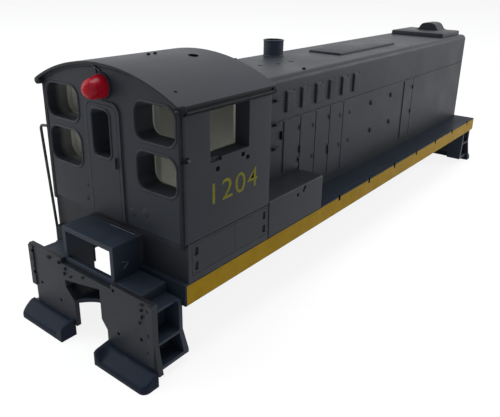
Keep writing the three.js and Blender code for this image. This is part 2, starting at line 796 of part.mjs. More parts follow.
function hoodShell() {
  const raised = hoodDoorProud;
  let shell = alongX(hoodSection(0), 0, hoodLength, cornerSteps);
  const relief = [];
  relief.push(...hoodDoorRow(hoodDoorStart, hoodDoorCount, raised));
  relief.push(...hoodDoorRow(foreDoorStart, foreDoorCount, raised));
  for (let i = 0; i < louvreCount; i += 1) relief.push(louvre(louvreStart + i * louvrePitch));
  for (const share of sideStepRiseShares) {
    const z = share * hoodRoofHeight;
    const wedge = outline([[-hoodHalfWidth + raised, z - sideStepHeight],
      [-hoodHalfWidth - sideStepProud, z - sideStepHeight / 4], [-hoodHalfWidth - sideStepProud, z],
      [-hoodHalfWidth + raised, z]]);
    relief.push(alongX(wedge, sideStepPlace, sideStepPlace + sideStepLength));
  }
  const side = joined(relief);
  shell = shell.add(side).add(solidOf(mirrored(geometryOf(side))));
  const belt = block(sideStepPlace + sideStepLength, hoodLength - moulding,
    -hoodHalfWidth - overrun, -hoodHalfWidth + grooveDepth, hoodBelt, hoodBelt + grooveWidth);
  shell = shell.subtract(belt).subtract(solidOf(mirrored(geometryOf(belt))));
  shell = shell.subtract(alongX(hoodSection(moulding), -overrun, hoodFrontInner, 3));
  // holes where lifting eyes and grabs are fitted
  const depth = hoodRoofHeight - hoodMouldingTop - overrun;
  for (const y of [-liftHoleAcross, liftHoleAcross]) {
    shell = shell.subtract(rodZ(liftHoleStart, y, liftHoleRadius, depth, hoodRoofHeight + overrun));
  }
  const shallow = hoodRoofHeight - grooveDepth;
  for (const [along, across] of tickShares) {
    const x = along * hoodLength;
    const y = across * hoodHalfWidth;
    shell = shell.subtract(block(x - tickWidth / 2, x + tickWidth / 2, y - tickLength / 2,
      y + tickLength / 2, shallow, hoodRoofHeight + overrun));
  }
  for (const y of [-liftSlotAcross, liftSlotAcross]) {
    shell = shell.subtract(block(liftSlotPlace - tickLength / 2, liftSlotPlace + tickLength / 2,
      y - tickWidth / 2, y + tickWidth / 2, shallow, hoodRoofHeight + overrun));
  }
  // radiator opening in the front wall
  return shell.subtract(block(hoodFrontInner - overrun, hoodLength + overrun, -grilleHalfWidth,
    grilleHalfWidth, grilleBottom, grilleTop));
}

function radiatorGrille() {
  const w = grilleHalfWidth - fitGap;
  const z0 = grilleBottom;
  const z1 = grilleTop - fitGap;
  const x0 = hoodFrontInner;
  let grille = block(x0, hoodLength, -w, w, z0, z1);
  grille = grille.subtract(block(x0 - overrun, hoodLength + overrun, -w + grilleFrame,
    w - grilleFrame, z0 + grilleFrame, z1 - grilleFrame));
  const pitch = (z1 - z0 - grilleFrame * 2) / grilleSlats;
  const slatHeight = pitch * grilleSlatShare;
  const slatDepth = moulding * Math.cos(grilleSlatTurn) - slatHeight * Math.sin(grilleSlatTurn);
  for (let i = 0; i < grilleSlats; i += 1) {
    const slat = new THREE.BoxGeometry(slatDepth, (w - grilleFrame / 2) * 2, slatHeight);
    slat.rotateY(grilleSlatTurn);
    slat.translate((x0 + hoodLength) / 2, 0, z0 + grilleFrame + pitch * (i + 1 / 2));
    grille = grille.add(solidOf(slat));
  }
  return grille.add(block(x0, hoodLength, -grilleBar / 2, grilleBar / 2, z0, z1));
}

// Low fairing with flared skirts, highest along its middle
function headlightHousing() {
  const h = headlightHeight;
  const w = headlightHalfWidth;
  const shape = new THREE.Shape();
  shape.moveTo(-w, 0);
  shape.lineTo(w, 0);
  const [flare, waist, brow, crown] = fairingShares.map((share) => w * share);
  const [lowRise, highRise] = fairingRiseShares.map((share) => h * share);
  shape.bezierCurveTo(flare, 0, flare, lowRise, waist, highRise);
  shape.bezierCurveTo(brow, h, crown, h, 0, h);
  shape.bezierCurveTo(-crown, h, -brow, h, -waist, highRise);
  shape.bezierCurveTo(-flare, lowRise, -flare, 0, -w, 0);
  const foot = hoodRoofHeight + radiatorHeight;
  const body = alongX(shape, headlightStart, headlightStart + headlightLength, cornerSteps)
    .translate(0, 0, foot);
  const end = headlightStart + headlightLength;
  return body.subtract(rodX(0, foot + h / 2, headlightBore, end - headlightBoreDepth, end + overrun,
    roundSteps));
}

function headlightLens() {
  const foot = hoodRoofHeight + radiatorHeight;
  const end = headlightStart + headlightLength;
  return rodX(0, foot + headlightHeight / 2, headlightBore - seatGap, end - headlightBoreDepth,
    end - headlightBoreDepth / 2, roundSteps);
}

function exhaustStack() {
  const profile = [[0, 0], [stackRadius, 0], [stackRadius, stackHeight - stackLip],
    [stackRadius - stackLip, stackHeight], [stackBore, stackHeight],
    [stackBore, stackHeight - stackBoreDepth], [0, stackHeight - stackBoreDepth]];
  const points = profile.map(([r, z]) => new THREE.Vector2(r, z));
  return new THREE.LatheGeometry(points, roundSteps).rotateX(Math.PI / 2);
}

// Rear end

function couplerPocket() {
  const w = pocketHalfWidth;
  let box = block(-pocketReach, -endSill, -w, w, pocketDrop, pocketHeight)
    .add(block(-pocketReach, 0, -w, w, deckHeight, pocketHeight));
  box = box.subtract(block(-pocketReach - overrun, overrun, -w + sheet, w - sheet,
    pocketDrop - overrun, pocketHeight - sheet));
  // below its lip the box stops behind the pilot plate
  box = box.subtract(block(-pocketReach - overrun, -pilotReach + sheet, -w - overrun, w + overrun,
    pocketDrop - overrun, pocketLipBottom));
  return box.add(block(-pocketReach, -pocketReach + sheet, -w, w, pocketLipBottom,
    pocketLipBottom + pocketLipHeight));
}

function platform() {
  return block(-pilotReach + sheet, -endSill, -platformHalfWidth, -pocketHalfWidth,
    platformHeight - sheet, platformHeight);
}

function pilotPlate() {
  const w = pilotHalfWidth;
  const flare = w + pilotFlare;
  const under = pocketLipBottom;
  const plate = outline([
    [-w, platformHeight], [-w, pilotFlareHeight], [-flare, pilotFoot],
    [-throatFootHalfWidth, pilotFoot], [-throatFootHalfWidth, throatFootHeight],
    [-mouthNear, throatShoulder], [-mouthNear, mouthRoofNear], [mouthFar, mouthRoofFar],
    [mouthFar, mouthFloor + mouthSlope], [throatHalfWidth, mouthFloor], [throatHalfWidth, pilotFoot],
    [flare, pilotFoot], [w - pilotNotchDepth, pilotNotchBottom],
    [w - pilotNotchDepth, pilotNotchTop], [w, pilotNotchTop], [w, platformHeight],
    [pocketHalfWidth, platformHeight], [pocketHalfWidth, under], [-pocketHalfWidth, under],
    [-pocketHalfWidth, platformHeight]]);
  const face = -pilotReach;
  let body = alongX(plate, face, face + sheet);
  // raised rib down each outer edge, on the far side as low as the notch
  for (const [y0, foot] of [[-w, riserHeight], [w - pilotRib, pilotNotchTop]]) {
    body = body.add(block(face - pilotRibProud, face + sheet / 2, y0, y0 + pilotRib,
      foot + pilotRibProud, platformHeight - pilotRibProud));
  }
  for (const s of [-1, 1]) {
    for (const [across, up] of boltShares) {
      body = body.subtract(rodX(s * w * across, pilotFoot + (platformHeight - pilotFoot) * up,
        boltRadius, face - overrun, face + boltDepth));
    }
  }
  return body;
}

function pilotTray() {
  const front = -pilotReach + sheet;
  const back = -trayBack;
  const w = platformHalfWidth;
  const n = trayNotchHalfWidth;
  const shape = new THREE.Shape();
  shape.moveTo(-w, back);
  shape.lineTo(-w, front);
  shape.lineTo(-n, front);
  shape.quadraticCurveTo(0, front + trayNotch * 2, n, front);
  shape.lineTo(w, front);
  shape.lineTo(w, back);
  const plan = new THREE.Shape(shape.getPoints(smallRoundSteps).map((p) => new THREE.Vector2(p.y, p.x)));
  const top = mouthFloor;
  const tray = alongZ(plan, top - trayThickness, top);
  const rib = new THREE.BoxGeometry(trayRibLength, trayRibWidth, trayRibHeight);
  rib.rotateZ(-trayRibTurn);
  rib.translate(front + trayRibLength / 2 + sheet, trayRibAcross, top);
  return tray.add(solidOf(rib));
}

// Stepwell behind a pilot plate: outer frame cut by the step openings
function stepwell(front, back) {
  const inner = -platformHalfWidth;
  const outer = -pilotHalfWidth;
  const frame = outline([
    [front, topTreadHeight], [back, topTreadHeight], [back, treadHeight],
    [stringerFoot, lowTread], [stringerFoot, pilotFoot], [front, pilotFoot]]);
  const clear = back - stringerWidth;
  const upper = block(front - overrun, clear, outer - overrun, inner - sheet,
    treadHeight, topTreadHeight - treadThickness);
  const lower = outline([[front - overrun, lowTread], [clear + stringerFoot, lowTread],
    [clear, treadHeight - treadThickness], [front - overrun, treadHeight - treadThickness]]);
  const setback = block(front - overrun, clear, outer - overrun, -topTreadHalfWidth,
    topTreadHeight - treadThickness - overrun, topTreadHeight + overrun);
  return alongY(frame, outer, inner)
    .add(block(front, back, inner - sheet, inner, topTreadHeight - treadThickness, platformHeight))
    .subtract(upper)
    .subtract(alongY(lower, outer - overrun, inner - sheet))
    .subtract(setback);
}

// Footboard reaching from x0 outwards to x1: plank, riser behind it and wall at its inner end
function footboard(x0, x1, inner) {
  const reach = Math.abs(x1 - x0);
  const out = Math.sign(x1 - x0);
  const side = (points) => outline(points.map(([along, z]) => [x0 + out * along, z]));
  const board = side([[0, 0], [0, riserHeight], [riserThickness, riserHeight],
    [riserThickness, plankHeight], [reach - plankEdge, plankHeight],
    [reach, plankHeight - plankEdge], [reach, 0]]);
  const wall = side([[0, 0], [0, endWallHeight], [riserThickness, endWallHeight],
    [reach - plankEdge, endWallFront], [reach, endWallFront - plankEdge], [reach, 0]]);
  const back = x0 - out * footboardCorner;
  const plan = rounded(Math.min(back, x1), Math.max(back, x1), -footboardOuter,
    footboardCorner - inner, footboardCorner);
  return alongY(board, -footboardOuter, -inner)
    .add(alongY(wall, -inner - endWallThickness, -inner))
    .intersect(alongZ(plan, 0, endWallHeight));
}

// Front end

function frontPilot() {
  const w = pilotHalfWidth;
  const flare = w + pilotFlare;
  const top = sillBottom;
  const plate = outline([
    [-w, top], [-w, pilotFlareHeight], [-flare, pilotFoot], [-frontThroat, pilotFoot],
    [-frontThroat, frontThroatHeight], [frontThroat, frontThroatHeight], [frontThroat, pilotFoot],
    [flare, pilotFoot], [w, pilotFlareHeight], [w, top]]);
  let body = alongX(plate, deckLength - sheet, deckLength);
  for (const s of [-1, 1]) {
    const y0 = Math.min(s * w, s * (w - pilotRib));
    body = body.add(block(deckLength - sheet / 2, deckLength + pilotRibProud, y0, y0 + pilotRib,
      riserHeight + pilotRibProud, top - pilotRibProud));
  }
  return body;
}

function frontStepwell() {
  const inner = -platformHalfWidth;
  const x1 = deckLength - sheet;
  const x0 = x1 - frontStepLength;
  const body = outline([[x0, sillBottom], [x0 - stringerFoot, lowTread], [x0 - stringerFoot, pilotFoot],
    [x1, pilotFoot], [x1, sillBottom]]);
  const well = alongY(body, -pilotHalfWidth, inner);
  const lower = block(x0 + stringerWidth, x1 + overrun, -pilotHalfWidth - overrun, inner - sheet,
    lowTread, treadHeight - treadThickness);
  const upper = block(x0 + stringerWidth, x1 + overrun, -pilotHalfWidth - overrun, inner - sheet,
    treadHeight, sillBottom + overrun);
  return well.subtract(lower).subtract(upper);
}

// Assembly

const shell = new THREE.Group();

const underframe = new THREE.Group();
underframe.add(mesh('deck', geometryOf(deckPlate()), darkPaint));
pair(underframe, 'sill', '', sill(), yellowPaint);
shell.add(underframe);

const cab = new THREE.Group();
cab.position.z = deckHeight;
cab.add(mesh('cab_shell', geometryOf(cabShell()), paint));
cab.add(mesh('cab_roof', geometryOf(cabRoof()), paint));
cab.add(mesh('cab_door', geometryOf(cabDoor()), paint));
cab.add(mesh('door_window_gasket', geometryOf(doorGasket()), paint));
const upperGasket = gasket(endWindow(upperWindowBottom, upperWindowTop, 0),
  endWindow(upperWindowBottom, upperWindowTop, gasketWidth));
const lowerGasket = gasket(endWindow(lowerWindowBottom, lowerWindowTop, 0),
  endWindow(lowerWindowBottom, lowerWindowTop, gasketWidth));
for (const [name, solid] of [['upper', upperGasket], ['lower', lowerGasket]]) {
  const far = geometryOf(solid);
  cab.add(mesh(`window_gasket_${name}_far`, far, paint));
  cab.add(mesh(`window_gasket_${name}_near`, mirrored(far), paint));
}
pair(cab, 'gutter', '', gutter(), darkPaint);
pair(cab, 'battery_door', '_1', batteryDoor(batteryStart, batterySplit - fitGap / 2, true), paint);
pair(cab, 'battery_door', '_2', batteryDoor(batterySplit + fitGap / 2, batteryEnd, false), paint);
pair(cab, 'toolbox', '', toolbox(), paint);
const base = mesh('marker_base', markerBase(), darkPaint);
base.position.set(0, markerAcross, markerHeight);
const lens = mesh('marker_lens', markerLens(), redGlass);
lens.position.set(-markerBaseLength, markerAcross, markerHeight);
cab.add(base, lens);
cab.add(mesh('corner_handrail', cornerHandrail(), wire));
const stub = mesh('handrail_stub',
  new THREE.CylinderGeometry(wireRadius, wireRadius, stubLength, smallRoundSteps), wire);
stub.position.set(railHoleInset, -halfDeck + railHoleDepth - stubLength / 2, railHoleHeight);
cab.add(stub);
shell.add(cab);

const hood = new THREE.Group();
hood.position.set(cabLength, 0, deckHeight);
hood.add(mesh('hood_shell', geometryOf(hoodShell()), paint));
hood.add(mesh('roof_hatch', geometryOf(cappedSlab(hatchStart, hatchStart + hatchLength,
  hatchHalfWidth, hoodRoofHeight, hatchHeight, hatchEdge)), paint));
hood.add(mesh('radiator_housing', geometryOf(cappedSlab(radiatorStart,
  radiatorStart + radiatorLength, radiatorHalfWidth, hoodRoofHeight, radiatorHeight,
  radiatorEdge)), paint));
hood.add(mesh('headlight_housing', geometryOf(headlightHousing()), paint));
hood.add(mesh('headlight_lens', geometryOf(headlightLens()), clearGlass));
hood.add(mesh('radiator_grille', geometryOf(radiatorGrille()), darkPaint));
const stack = mesh('exhaust_stack', exhaustStack(), darkPaint);
stack.position.set(stackPlace, stackAcross, hoodRoofHeight);
hood.add(stack);
shell.add(hood);

const rearEnd = new THREE.Group();
rearEnd.add(mesh('coupler_pocket_rear', geometryOf(couplerPocket()), darkPaint));
pair(rearEnd, 'platform', '', platform(), darkPaint);
rearEnd.add(mesh('pilot_rear', geometryOf(pilotPlate()), paint));
rearEnd.add(mesh('pilot_tray_rear', geometryOf(pilotTray()), darkPaint));
pair(rearEnd, 'steps_rear', '', stepwell(-pilotReach + sheet, -endSill), darkPaint);
const rearTip = -pilotReach - footboardReach;
rearEnd.add(mesh('footboard_rear_near',
  geometryOf(footboard(-pilotReach, rearTip, throatFootHalfWidth)), darkPaint));
rearEnd.add(mesh('footboard_rear_far',
  mirrored(geometryOf(footboard(-pilotReach, rearTip, footboardInnerFar))), darkPaint));
shell.add(rearEnd);

const frontEnd = new THREE.Group();
frontEnd.add(mesh('pilot_front', geometryOf(frontPilot()), paint));
pair(frontEnd, 'steps_front', '', frontStepwell(), darkPaint);
pair(frontEnd, 'footboard_front', '',
  footboard(deckLength, deckLength + frontFootboardReach, frontThroat), darkPaint);
shell.add(frontEnd);

// Origin under the middle of the shell
const foremost = deckLength + frontFootboardReach;
const nearmost = -halfDeck - gutterDepth;
const farmost = halfDeck + wireReach + wireRadius;
shell.position.set(-(rearTip + foremost) / 2, -(nearmost + farmost) / 2, 0);

export default shell;
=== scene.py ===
"""Dresses the body shell of a small model switcher locomotive: satin dark paint on
moulded plastic, bare plastic inside, yellow sills, a red marker lens and wire handrails."""

import json
import math

import bmesh
import bpy
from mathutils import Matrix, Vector


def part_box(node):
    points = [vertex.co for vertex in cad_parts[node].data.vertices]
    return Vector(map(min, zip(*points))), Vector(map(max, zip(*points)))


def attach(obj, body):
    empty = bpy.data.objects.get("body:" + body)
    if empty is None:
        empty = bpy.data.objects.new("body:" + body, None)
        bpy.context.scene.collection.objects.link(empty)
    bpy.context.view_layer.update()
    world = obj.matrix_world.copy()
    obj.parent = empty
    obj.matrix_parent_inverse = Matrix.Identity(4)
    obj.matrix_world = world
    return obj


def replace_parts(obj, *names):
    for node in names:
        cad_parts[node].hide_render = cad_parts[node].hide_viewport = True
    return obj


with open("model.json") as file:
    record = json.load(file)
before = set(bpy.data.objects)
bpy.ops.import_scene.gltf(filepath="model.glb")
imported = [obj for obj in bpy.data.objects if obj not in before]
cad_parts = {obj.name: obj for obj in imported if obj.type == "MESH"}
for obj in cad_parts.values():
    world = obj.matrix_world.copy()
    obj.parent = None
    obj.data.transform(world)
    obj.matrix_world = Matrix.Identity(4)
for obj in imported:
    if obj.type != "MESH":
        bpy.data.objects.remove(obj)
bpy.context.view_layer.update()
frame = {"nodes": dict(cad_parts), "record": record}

bl_info = {
    "name": "Model switcher body shell",
    "version": (1, 0, 0),
    "blender": (4, 5, 0),
    "location": "3D View > Sidebar > Switcher",
    "description": "Paints and details the body shell of a model switcher locomotive",
    "category": "Object",
}

MM = 0.001

# Places taken from the frame: cab end wall, middle of the walkway and its top
NEAR_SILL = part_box("sill_near")
FAR_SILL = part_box("sill_far")
END_X = NEAR_SILL[0].x
MIDDLE_Y = (NEAR_SILL[0].y + FAR_SILL[1].y) / 2
DECK_Z = NEAR_SILL[1].z
HALF_DECK = (FAR_SILL[1].y - NEAR_SILL[0].y) / 2

# From here on, places are in millimetres along, across and above the walkway.
SIDES = ((-1, "near"), (1, "far"))
# The cab roof's curve: its axis above the walkway and its outer radius
ROOF_AXIS = -4.0
ROOF_RADIUS = 37.4
# Lower and upper end of the posts and of the painted shadow lines at the cab's rear corners
POST_ENDS = (6.0, 28.2)
# The figures on the cab's sides, and their middle along and above the walkway
CAB_NUMBER = "1204"
NUMBER_PLACE = (12.15, 13.65)
# The hood's side walls, and the louvre banks in them
HOOD_SIDE = 11.0
BANK_STARTS = [35.5 + 5.6 * bank for bank in range(6)]
BANK_BOTTOM, BANK_TOP = 20.75, 24.75
# Door handles and latches on the hood's sides: along and above the walkway
HANDLE_PLACES = ((34.3, 16.1), (41.1, 11.7), (53.1, 8.5))
LATCH_PLACES = (
    (46.4, 16.0), (46.5, 8.9), (58.3, 15.9), (62.9, 15.9), (58.5, 8.8),
    (63.0, 8.9), (74.4, 16.1), (75.1, 8.8), (86.1, 16.3), (86.4, 8.9))
# Mould marks on the rear pilot's plate: across, above, half width and half height,
# and the share of those sizes that they are made at
MARK_PLACES = (
    (-14.3, -1.6, 0.42, 0.14), (-14.1, -2.7, 0.30, 0.16), (-14.2, -3.9, 0.14, 0.36),
    (-13.6, -5.2, 0.26, 0.16), (-15.4, -10.0, 0.24, 0.18),
    (10.5, -1.9, 0.55, 0.20), (16.0, -4.0, 0.16, 0.30), (15.7, -5.4, 0.16, 0.30),
    (7.4, -1.9, 0.30, 0.24), (5.6, -2.5, 0.24, 0.30), (6.0, -3.6, 0.24, 0.30),
    (4.2, -3.6, 0.22, 0.18), (0.6, -2.4, 0.30, 0.20))
MARK_SHARE = 0.85

# Tints of what lies on the paint; the pale edge tint is partly wear and partly a painted
# highlight
RUBBED_EDGE_AND_HIGHLIGHT = (0.12, 0.125, 0.135)
DUST_FILM = (0.16, 0.16, 0.165)
DUST_SPECK = (0.17, 0.17, 0.165)
HAIR_SCRATCH = (0.14, 0.14, 0.15)

# Least angle between two faces that keeps the edge between them sharp
SHARP = math.radians(32)

# Camera of the main view: metres, degrees, millimetres and share of the picture's width
CAMERA_PLACE = (-0.123812, -0.073847, 0.062697)
CAMERA_TURN = (69.8837, -0.9511, -51.9512)
CAMERA_LENS = 40.147
CAMERA_SHIFT = -0.067


def at(x, y, z):
    """Point from millimetres along, across and above the walkway, counted from the cab end."""
    return Vector((END_X + x * MM, MIDDLE_Y + y * MM, DECK_Z + z * MM))


# ---------------------------------------------------------------- user values

class SwitcherSizes(bpy.types.PropertyGroup):
    """Sizes of the fine pieces that are added to the shell."""

    rim_width: bpy.props.FloatProperty(
        name="Window rim width", description="Width of the moulded rim round each end window",
        default=0.00042, min=0.0002, max=0.0015, subtype="DISTANCE", unit="LENGTH")
    rim_height: bpy.props.FloatProperty(
        name="Window rim height", description="How far a window rim stands off the wall",
        default=0.00016, min=0.00005, max=0.001, subtype="DISTANCE", unit="LENGTH")
    edge_radius: bpy.props.FloatProperty(
        name="Edge radius", description="Softening of the moulded plastic's edges",
        default=0.00014, min=0.00002, max=0.0004, subtype="DISTANCE", unit="LENGTH")
    wire_radius: bpy.props.FloatProperty(
        name="Handrail radius", description="Radius of the handrails' wire",
        default=0.00027, min=0.0001, max=0.0006, subtype="DISTANCE", unit="LENGTH")
    number_height: bpy.props.FloatProperty(
        name="Number height", description="Height of the figures on the cab sides",
        default=0.0036, min=0.001, max=0.008, subtype="DISTANCE", unit="LENGTH")
    number_width: bpy.props.FloatProperty(
        name="Number width", description="Length of the row of figures on the cab sides",
        default=0.0118, min=0.004, max=0.02, subtype="DISTANCE", unit="LENGTH")


class SwitcherColours(bpy.types.PropertyGroup):
    """Colours of the paint, the bare plastic and the lenses."""

    body: bpy.props.FloatVectorProperty(
        name="Body paint", description="Satin paint of the cab, the hood and the pilots",
        default=(0.0122, 0.0146, 0.0202), min=0, max=1, size=3, subtype="COLOR")
    walkway: bpy.props.FloatVectorProperty(
        name="Walkway paint", description="Bluer paint of the walkway, steps and platforms",
        default=(0.0088, 0.0126, 0.0202), min=0, max=1, size=3, subtype="COLOR")
    board: bpy.props.FloatVectorProperty(
        name="Footboard paint", description="Deeper blue paint of the footboards",
        default=(0.0042, 0.0082, 0.0168), min=0, max=1, size=3, subtype="COLOR")
    stack: bpy.props.FloatVectorProperty(
        name="Stack paint", description="Paler paint of the exhaust stack",
        default=(0.0165, 0.0225, 0.036), min=0, max=1, size=3, subtype="COLOR")
    stripe: bpy.props.FloatVectorProperty(
        name="Sill paint", description="Yellow paint along the side sills",
        default=(0.205, 0.122, 0.0018), min=0, max=1, size=3, subtype="COLOR")
    number: bpy.props.FloatVectorProperty(
        name="Number ink", description="Ink of the figures on the cab sides",
        default=(0.118, 0.108, 0.003), min=0, max=1, size=3, subtype="COLOR")
    bare: bpy.props.FloatVectorProperty(
        name="Bare plastic", description="Unpainted plastic inside the shell",
        default=(0.40, 0.40, 0.35), min=0, max=1, size=3, subtype="COLOR")
    lens: bpy.props.FloatVectorProperty(
        name="Marker lens", description="Red plastic of the marker lens",
        default=(0.235, 0.004, 0.011), min=0, max=1, size=3, subtype="COLOR")
    metal: bpy.props.FloatVectorProperty(
        name="Handrail wire", description="Darkened wire of the handrails",
        default=(0.022, 0.022, 0.022), min=0, max=1, size=3, subtype="COLOR")


def sizes():
    return bpy.context.scene.switcher_sizes


def colours():
    return bpy.context.scene.switcher_colours


# ---------------------------------------------------------------- materials

def new_material(name):
    """Material with an empty tree, and that tree."""
    material = bpy.data.materials.new(name)
    material.use_nodes = True
    material.node_tree.nodes.clear()
    return material, material.node_tree


def add(tree, kind, inputs=None, **settings):
    """Adds a node; inputs are links where they are sockets and values otherwise."""
    node = tree.nodes.new(kind)
    for key, value in settings.items():
        setattr(node, key, value)
    for key, value in (inputs or {}).items():
        if isinstance(value, bpy.types.NodeSocket):
            tree.links.new(value, node.inputs[key])
        else:
            node.inputs[key].default_value = value
    return node


def maths(tree, operation, first, *others):
    """Takes the values one after another through the operation."""
    for other in others or (0.0,):
        node = add(tree, "ShaderNodeMath", {0: first, 1: other}, operation=operation)
        first = node.outputs[0]
    return first


def times(tree, *values):
    return maths(tree, "MULTIPLY", *values)


def spread(tree, value, low, high, to_low=0.0, to_high=1.0):
    """Maps low..high to to_low..to_high and holds it there."""
    node = add(tree, "ShaderNodeMapRange", {
        "Value": value, "From Min": low, "From Max": high, "To Min": to_low,
        "To Max": to_high}, clamp=True)
    return node.outputs["Result"]


def mixed(tree, share, a, b):
    """Colour between a and b."""
    return add(tree, "ShaderNodeMix", {0: share, 6: a, 7: b}, data_type="RGBA").outputs[2]


def rgba(colour, gain=1.0):
    return tuple(min(1.0, part * gain) for part in colour[:3]) + (1.0,)


def varied(tree, share, colour, low, high):
    """Colour between a darker and a lighter tone of itself."""
    return mixed(tree, share, rgba(colour, low), rgba(colour, high))


def parts_of(tree, vector):
    return add(tree, "ShaderNodeSeparateXYZ", {"Vector": vector}).outputs


def facing(tree):
    """Direction that the surface looks in."""
    return add(tree, "ShaderNodeNewGeometry").outputs["Normal"]


def noise(tree, where, scale, detail=2.0, roughness=0.5):
    return add(tree, "ShaderNodeTexNoise", {
        "Vector": where, "Scale": scale, "Detail": detail, "Roughness": roughness}).outputs["Fac"]


def stretched(tree, where, scale):
    return add(tree, "ShaderNodeMapping", {"Vector": where, "Scale": scale}).outputs["Vector"]


def relief(tree, height, strength, depth, over=None):
    """Direction of a surface with a fine relief, its depth in millimetres."""
    node = add(tree, "ShaderNodeBump", {
        "Strength": strength, "Distance": depth * MM, "Height": height})
    if over is not None:
        tree.links.new(over, node.inputs["Normal"])
    return node.outputs["Normal"]


def within(tree, where, low, high, soft=0.04):
    """1 inside the box between two places in millimetres, 0 outside it."""
    low, high = at(*low), at(*high)
    parts = parts_of(tree, where)
    shares = []
    for axis in range(3):
        middle = (low[axis] + high[axis]) / 2
        half = (high[axis] - low[axis]) / 2
        off = maths(tree, "ABSOLUTE", maths(tree, "SUBTRACT", parts[axis], middle))
        shares.append(spread(tree, off, half - soft * MM, half + soft * MM, 1.0, 0.0))
    return times(tree, *shares)


def soft_normal(tree, radius):
    return add(tree, "ShaderNodeBevel", {"Radius": radius}, samples=6).outputs["Normal"]


def edge_share(tree, rounded):
    """Near 1 where the softened surface turns over an edge, 0 on flats."""
    turned_by = add(tree, "ShaderNodeVectorMath", {0: rounded, 1: facing(tree)},
                    operation="DOT_PRODUCT").outputs["Value"]
    return spread(tree, turned_by, 0.995, 0.8)


def upward(tree):
    """1 on faces that look up, 0 on walls."""
    return spread(tree, parts_of(tree, facing(tree))["Z"], 0.5, 0.95)


def under_roof(tree, where):
    """1 inside the curve that runs through the middle of the roof's sheet."""
    axis = at(0, 0, ROOF_AXIS)
    parts = parts_of(tree, where)
    y = maths(tree, "SUBTRACT", parts["Y"], axis.y)
    z = maths(tree, "SUBTRACT", parts["Z"], axis.z)
    off = maths(tree, "SQRT", maths(tree, "ADD", times(tree, y, y), times(tree, z, z)))
    return spread(tree, off, (ROOF_RADIUS - 0.62) * MM, (ROOF_RADIUS - 0.7) * MM)


def bare_and_reflection_zones(tree, where):
    """Inside of the cab and of the hood, which the paint didn't reach, and a faint painted
    reflection in the far end windows' reveals.
    """
    cab = times(tree, within(tree, where, (3.7, -14.45, -4.5), (21.4, 14.45, 33.3)),
                under_roof(tree, where))
    hood = within(tree, where, (20.7, -10.1, -4.5), (141.3, 10.1, 26.1))
    strip = within(tree, where, (3.97, -15.97, -4.5), (5.75, 15.97, 27.0))
    # painted reflection: the far windows' reveals are tinted about a quarter of the way toward
    # the bare plastic
    far_window_reflection = times(tree, within(tree, where, (2.1, 7.5, 12.5), (4.6, 16.6, 28.5), 0.6), 0.24)
    return maths(tree, "MAXIMUM", cab, hood, strip, far_window_reflection)


def painted_shade_zones(tree, where):
    """Painted shade: the rear faces of the roof's lip, the low end wall below the belt, and the
    side faces under the eaves.
    """
    look = parts_of(tree, facing(tree))
    to_rear = spread(tree, look["X"], -0.5, -0.8)
    lip = times(tree, to_rear, within(tree, where, (-1.5, -19, 26.5), (-0.6, 19, 34.5)))
    low_end = times(tree, to_rear, 0.6,
                    within(tree, where, (0.35, -17.3, -1), (0.8, 17.3, 5.6), 0.3))
    sideways = spread(tree, maths(tree, "ABSOLUTE", look["Y"]), 0.65, 0.8)
    eaves = maths(tree, "SUBTRACT", 1.0, within(tree, where, (-3, -17.2, 20), (30, 17.2, 40)))
    cut = times(tree, sideways, eaves, within(tree, where, (-3, -20, 27.8), (23, 20, 30)))
    return maths(tree, "MAXIMUM", lip, low_end, cut)


def striped(tree, where, tone):
    """Yellow on the sills' outer faces, a little below the walkway's edge."""
    parts = parts_of(tree, where)
    across = parts_of(tree, facing(tree))["Y"]
    outer = spread(tree, maths(tree, "ABSOLUTE", across), 0.6, 0.8)
    wavy = times(tree, noise(tree, where, 700.0), 0.00014)
    below = spread(tree, maths(tree, "ADD", parts["Z"], wavy), DECK_Z - 0.00018,
                   DECK_Z - 0.00026)
    off = maths(tree, "ABSOLUTE", maths(tree, "SUBTRACT", parts["Y"], MIDDLE_Y))
    face = spread(tree, off, HALF_DECK - 0.0004, HALF_DECK - 0.0003)
    thin = spread(tree, noise(tree, where, 240.0, 4.0, 0.65), 0.3, 0.7)
    yellow = varied(tree, thin, colours().stripe, 0.86, 1.1)
    return mixed(tree, times(tree, outer, below, face), tone, yellow)


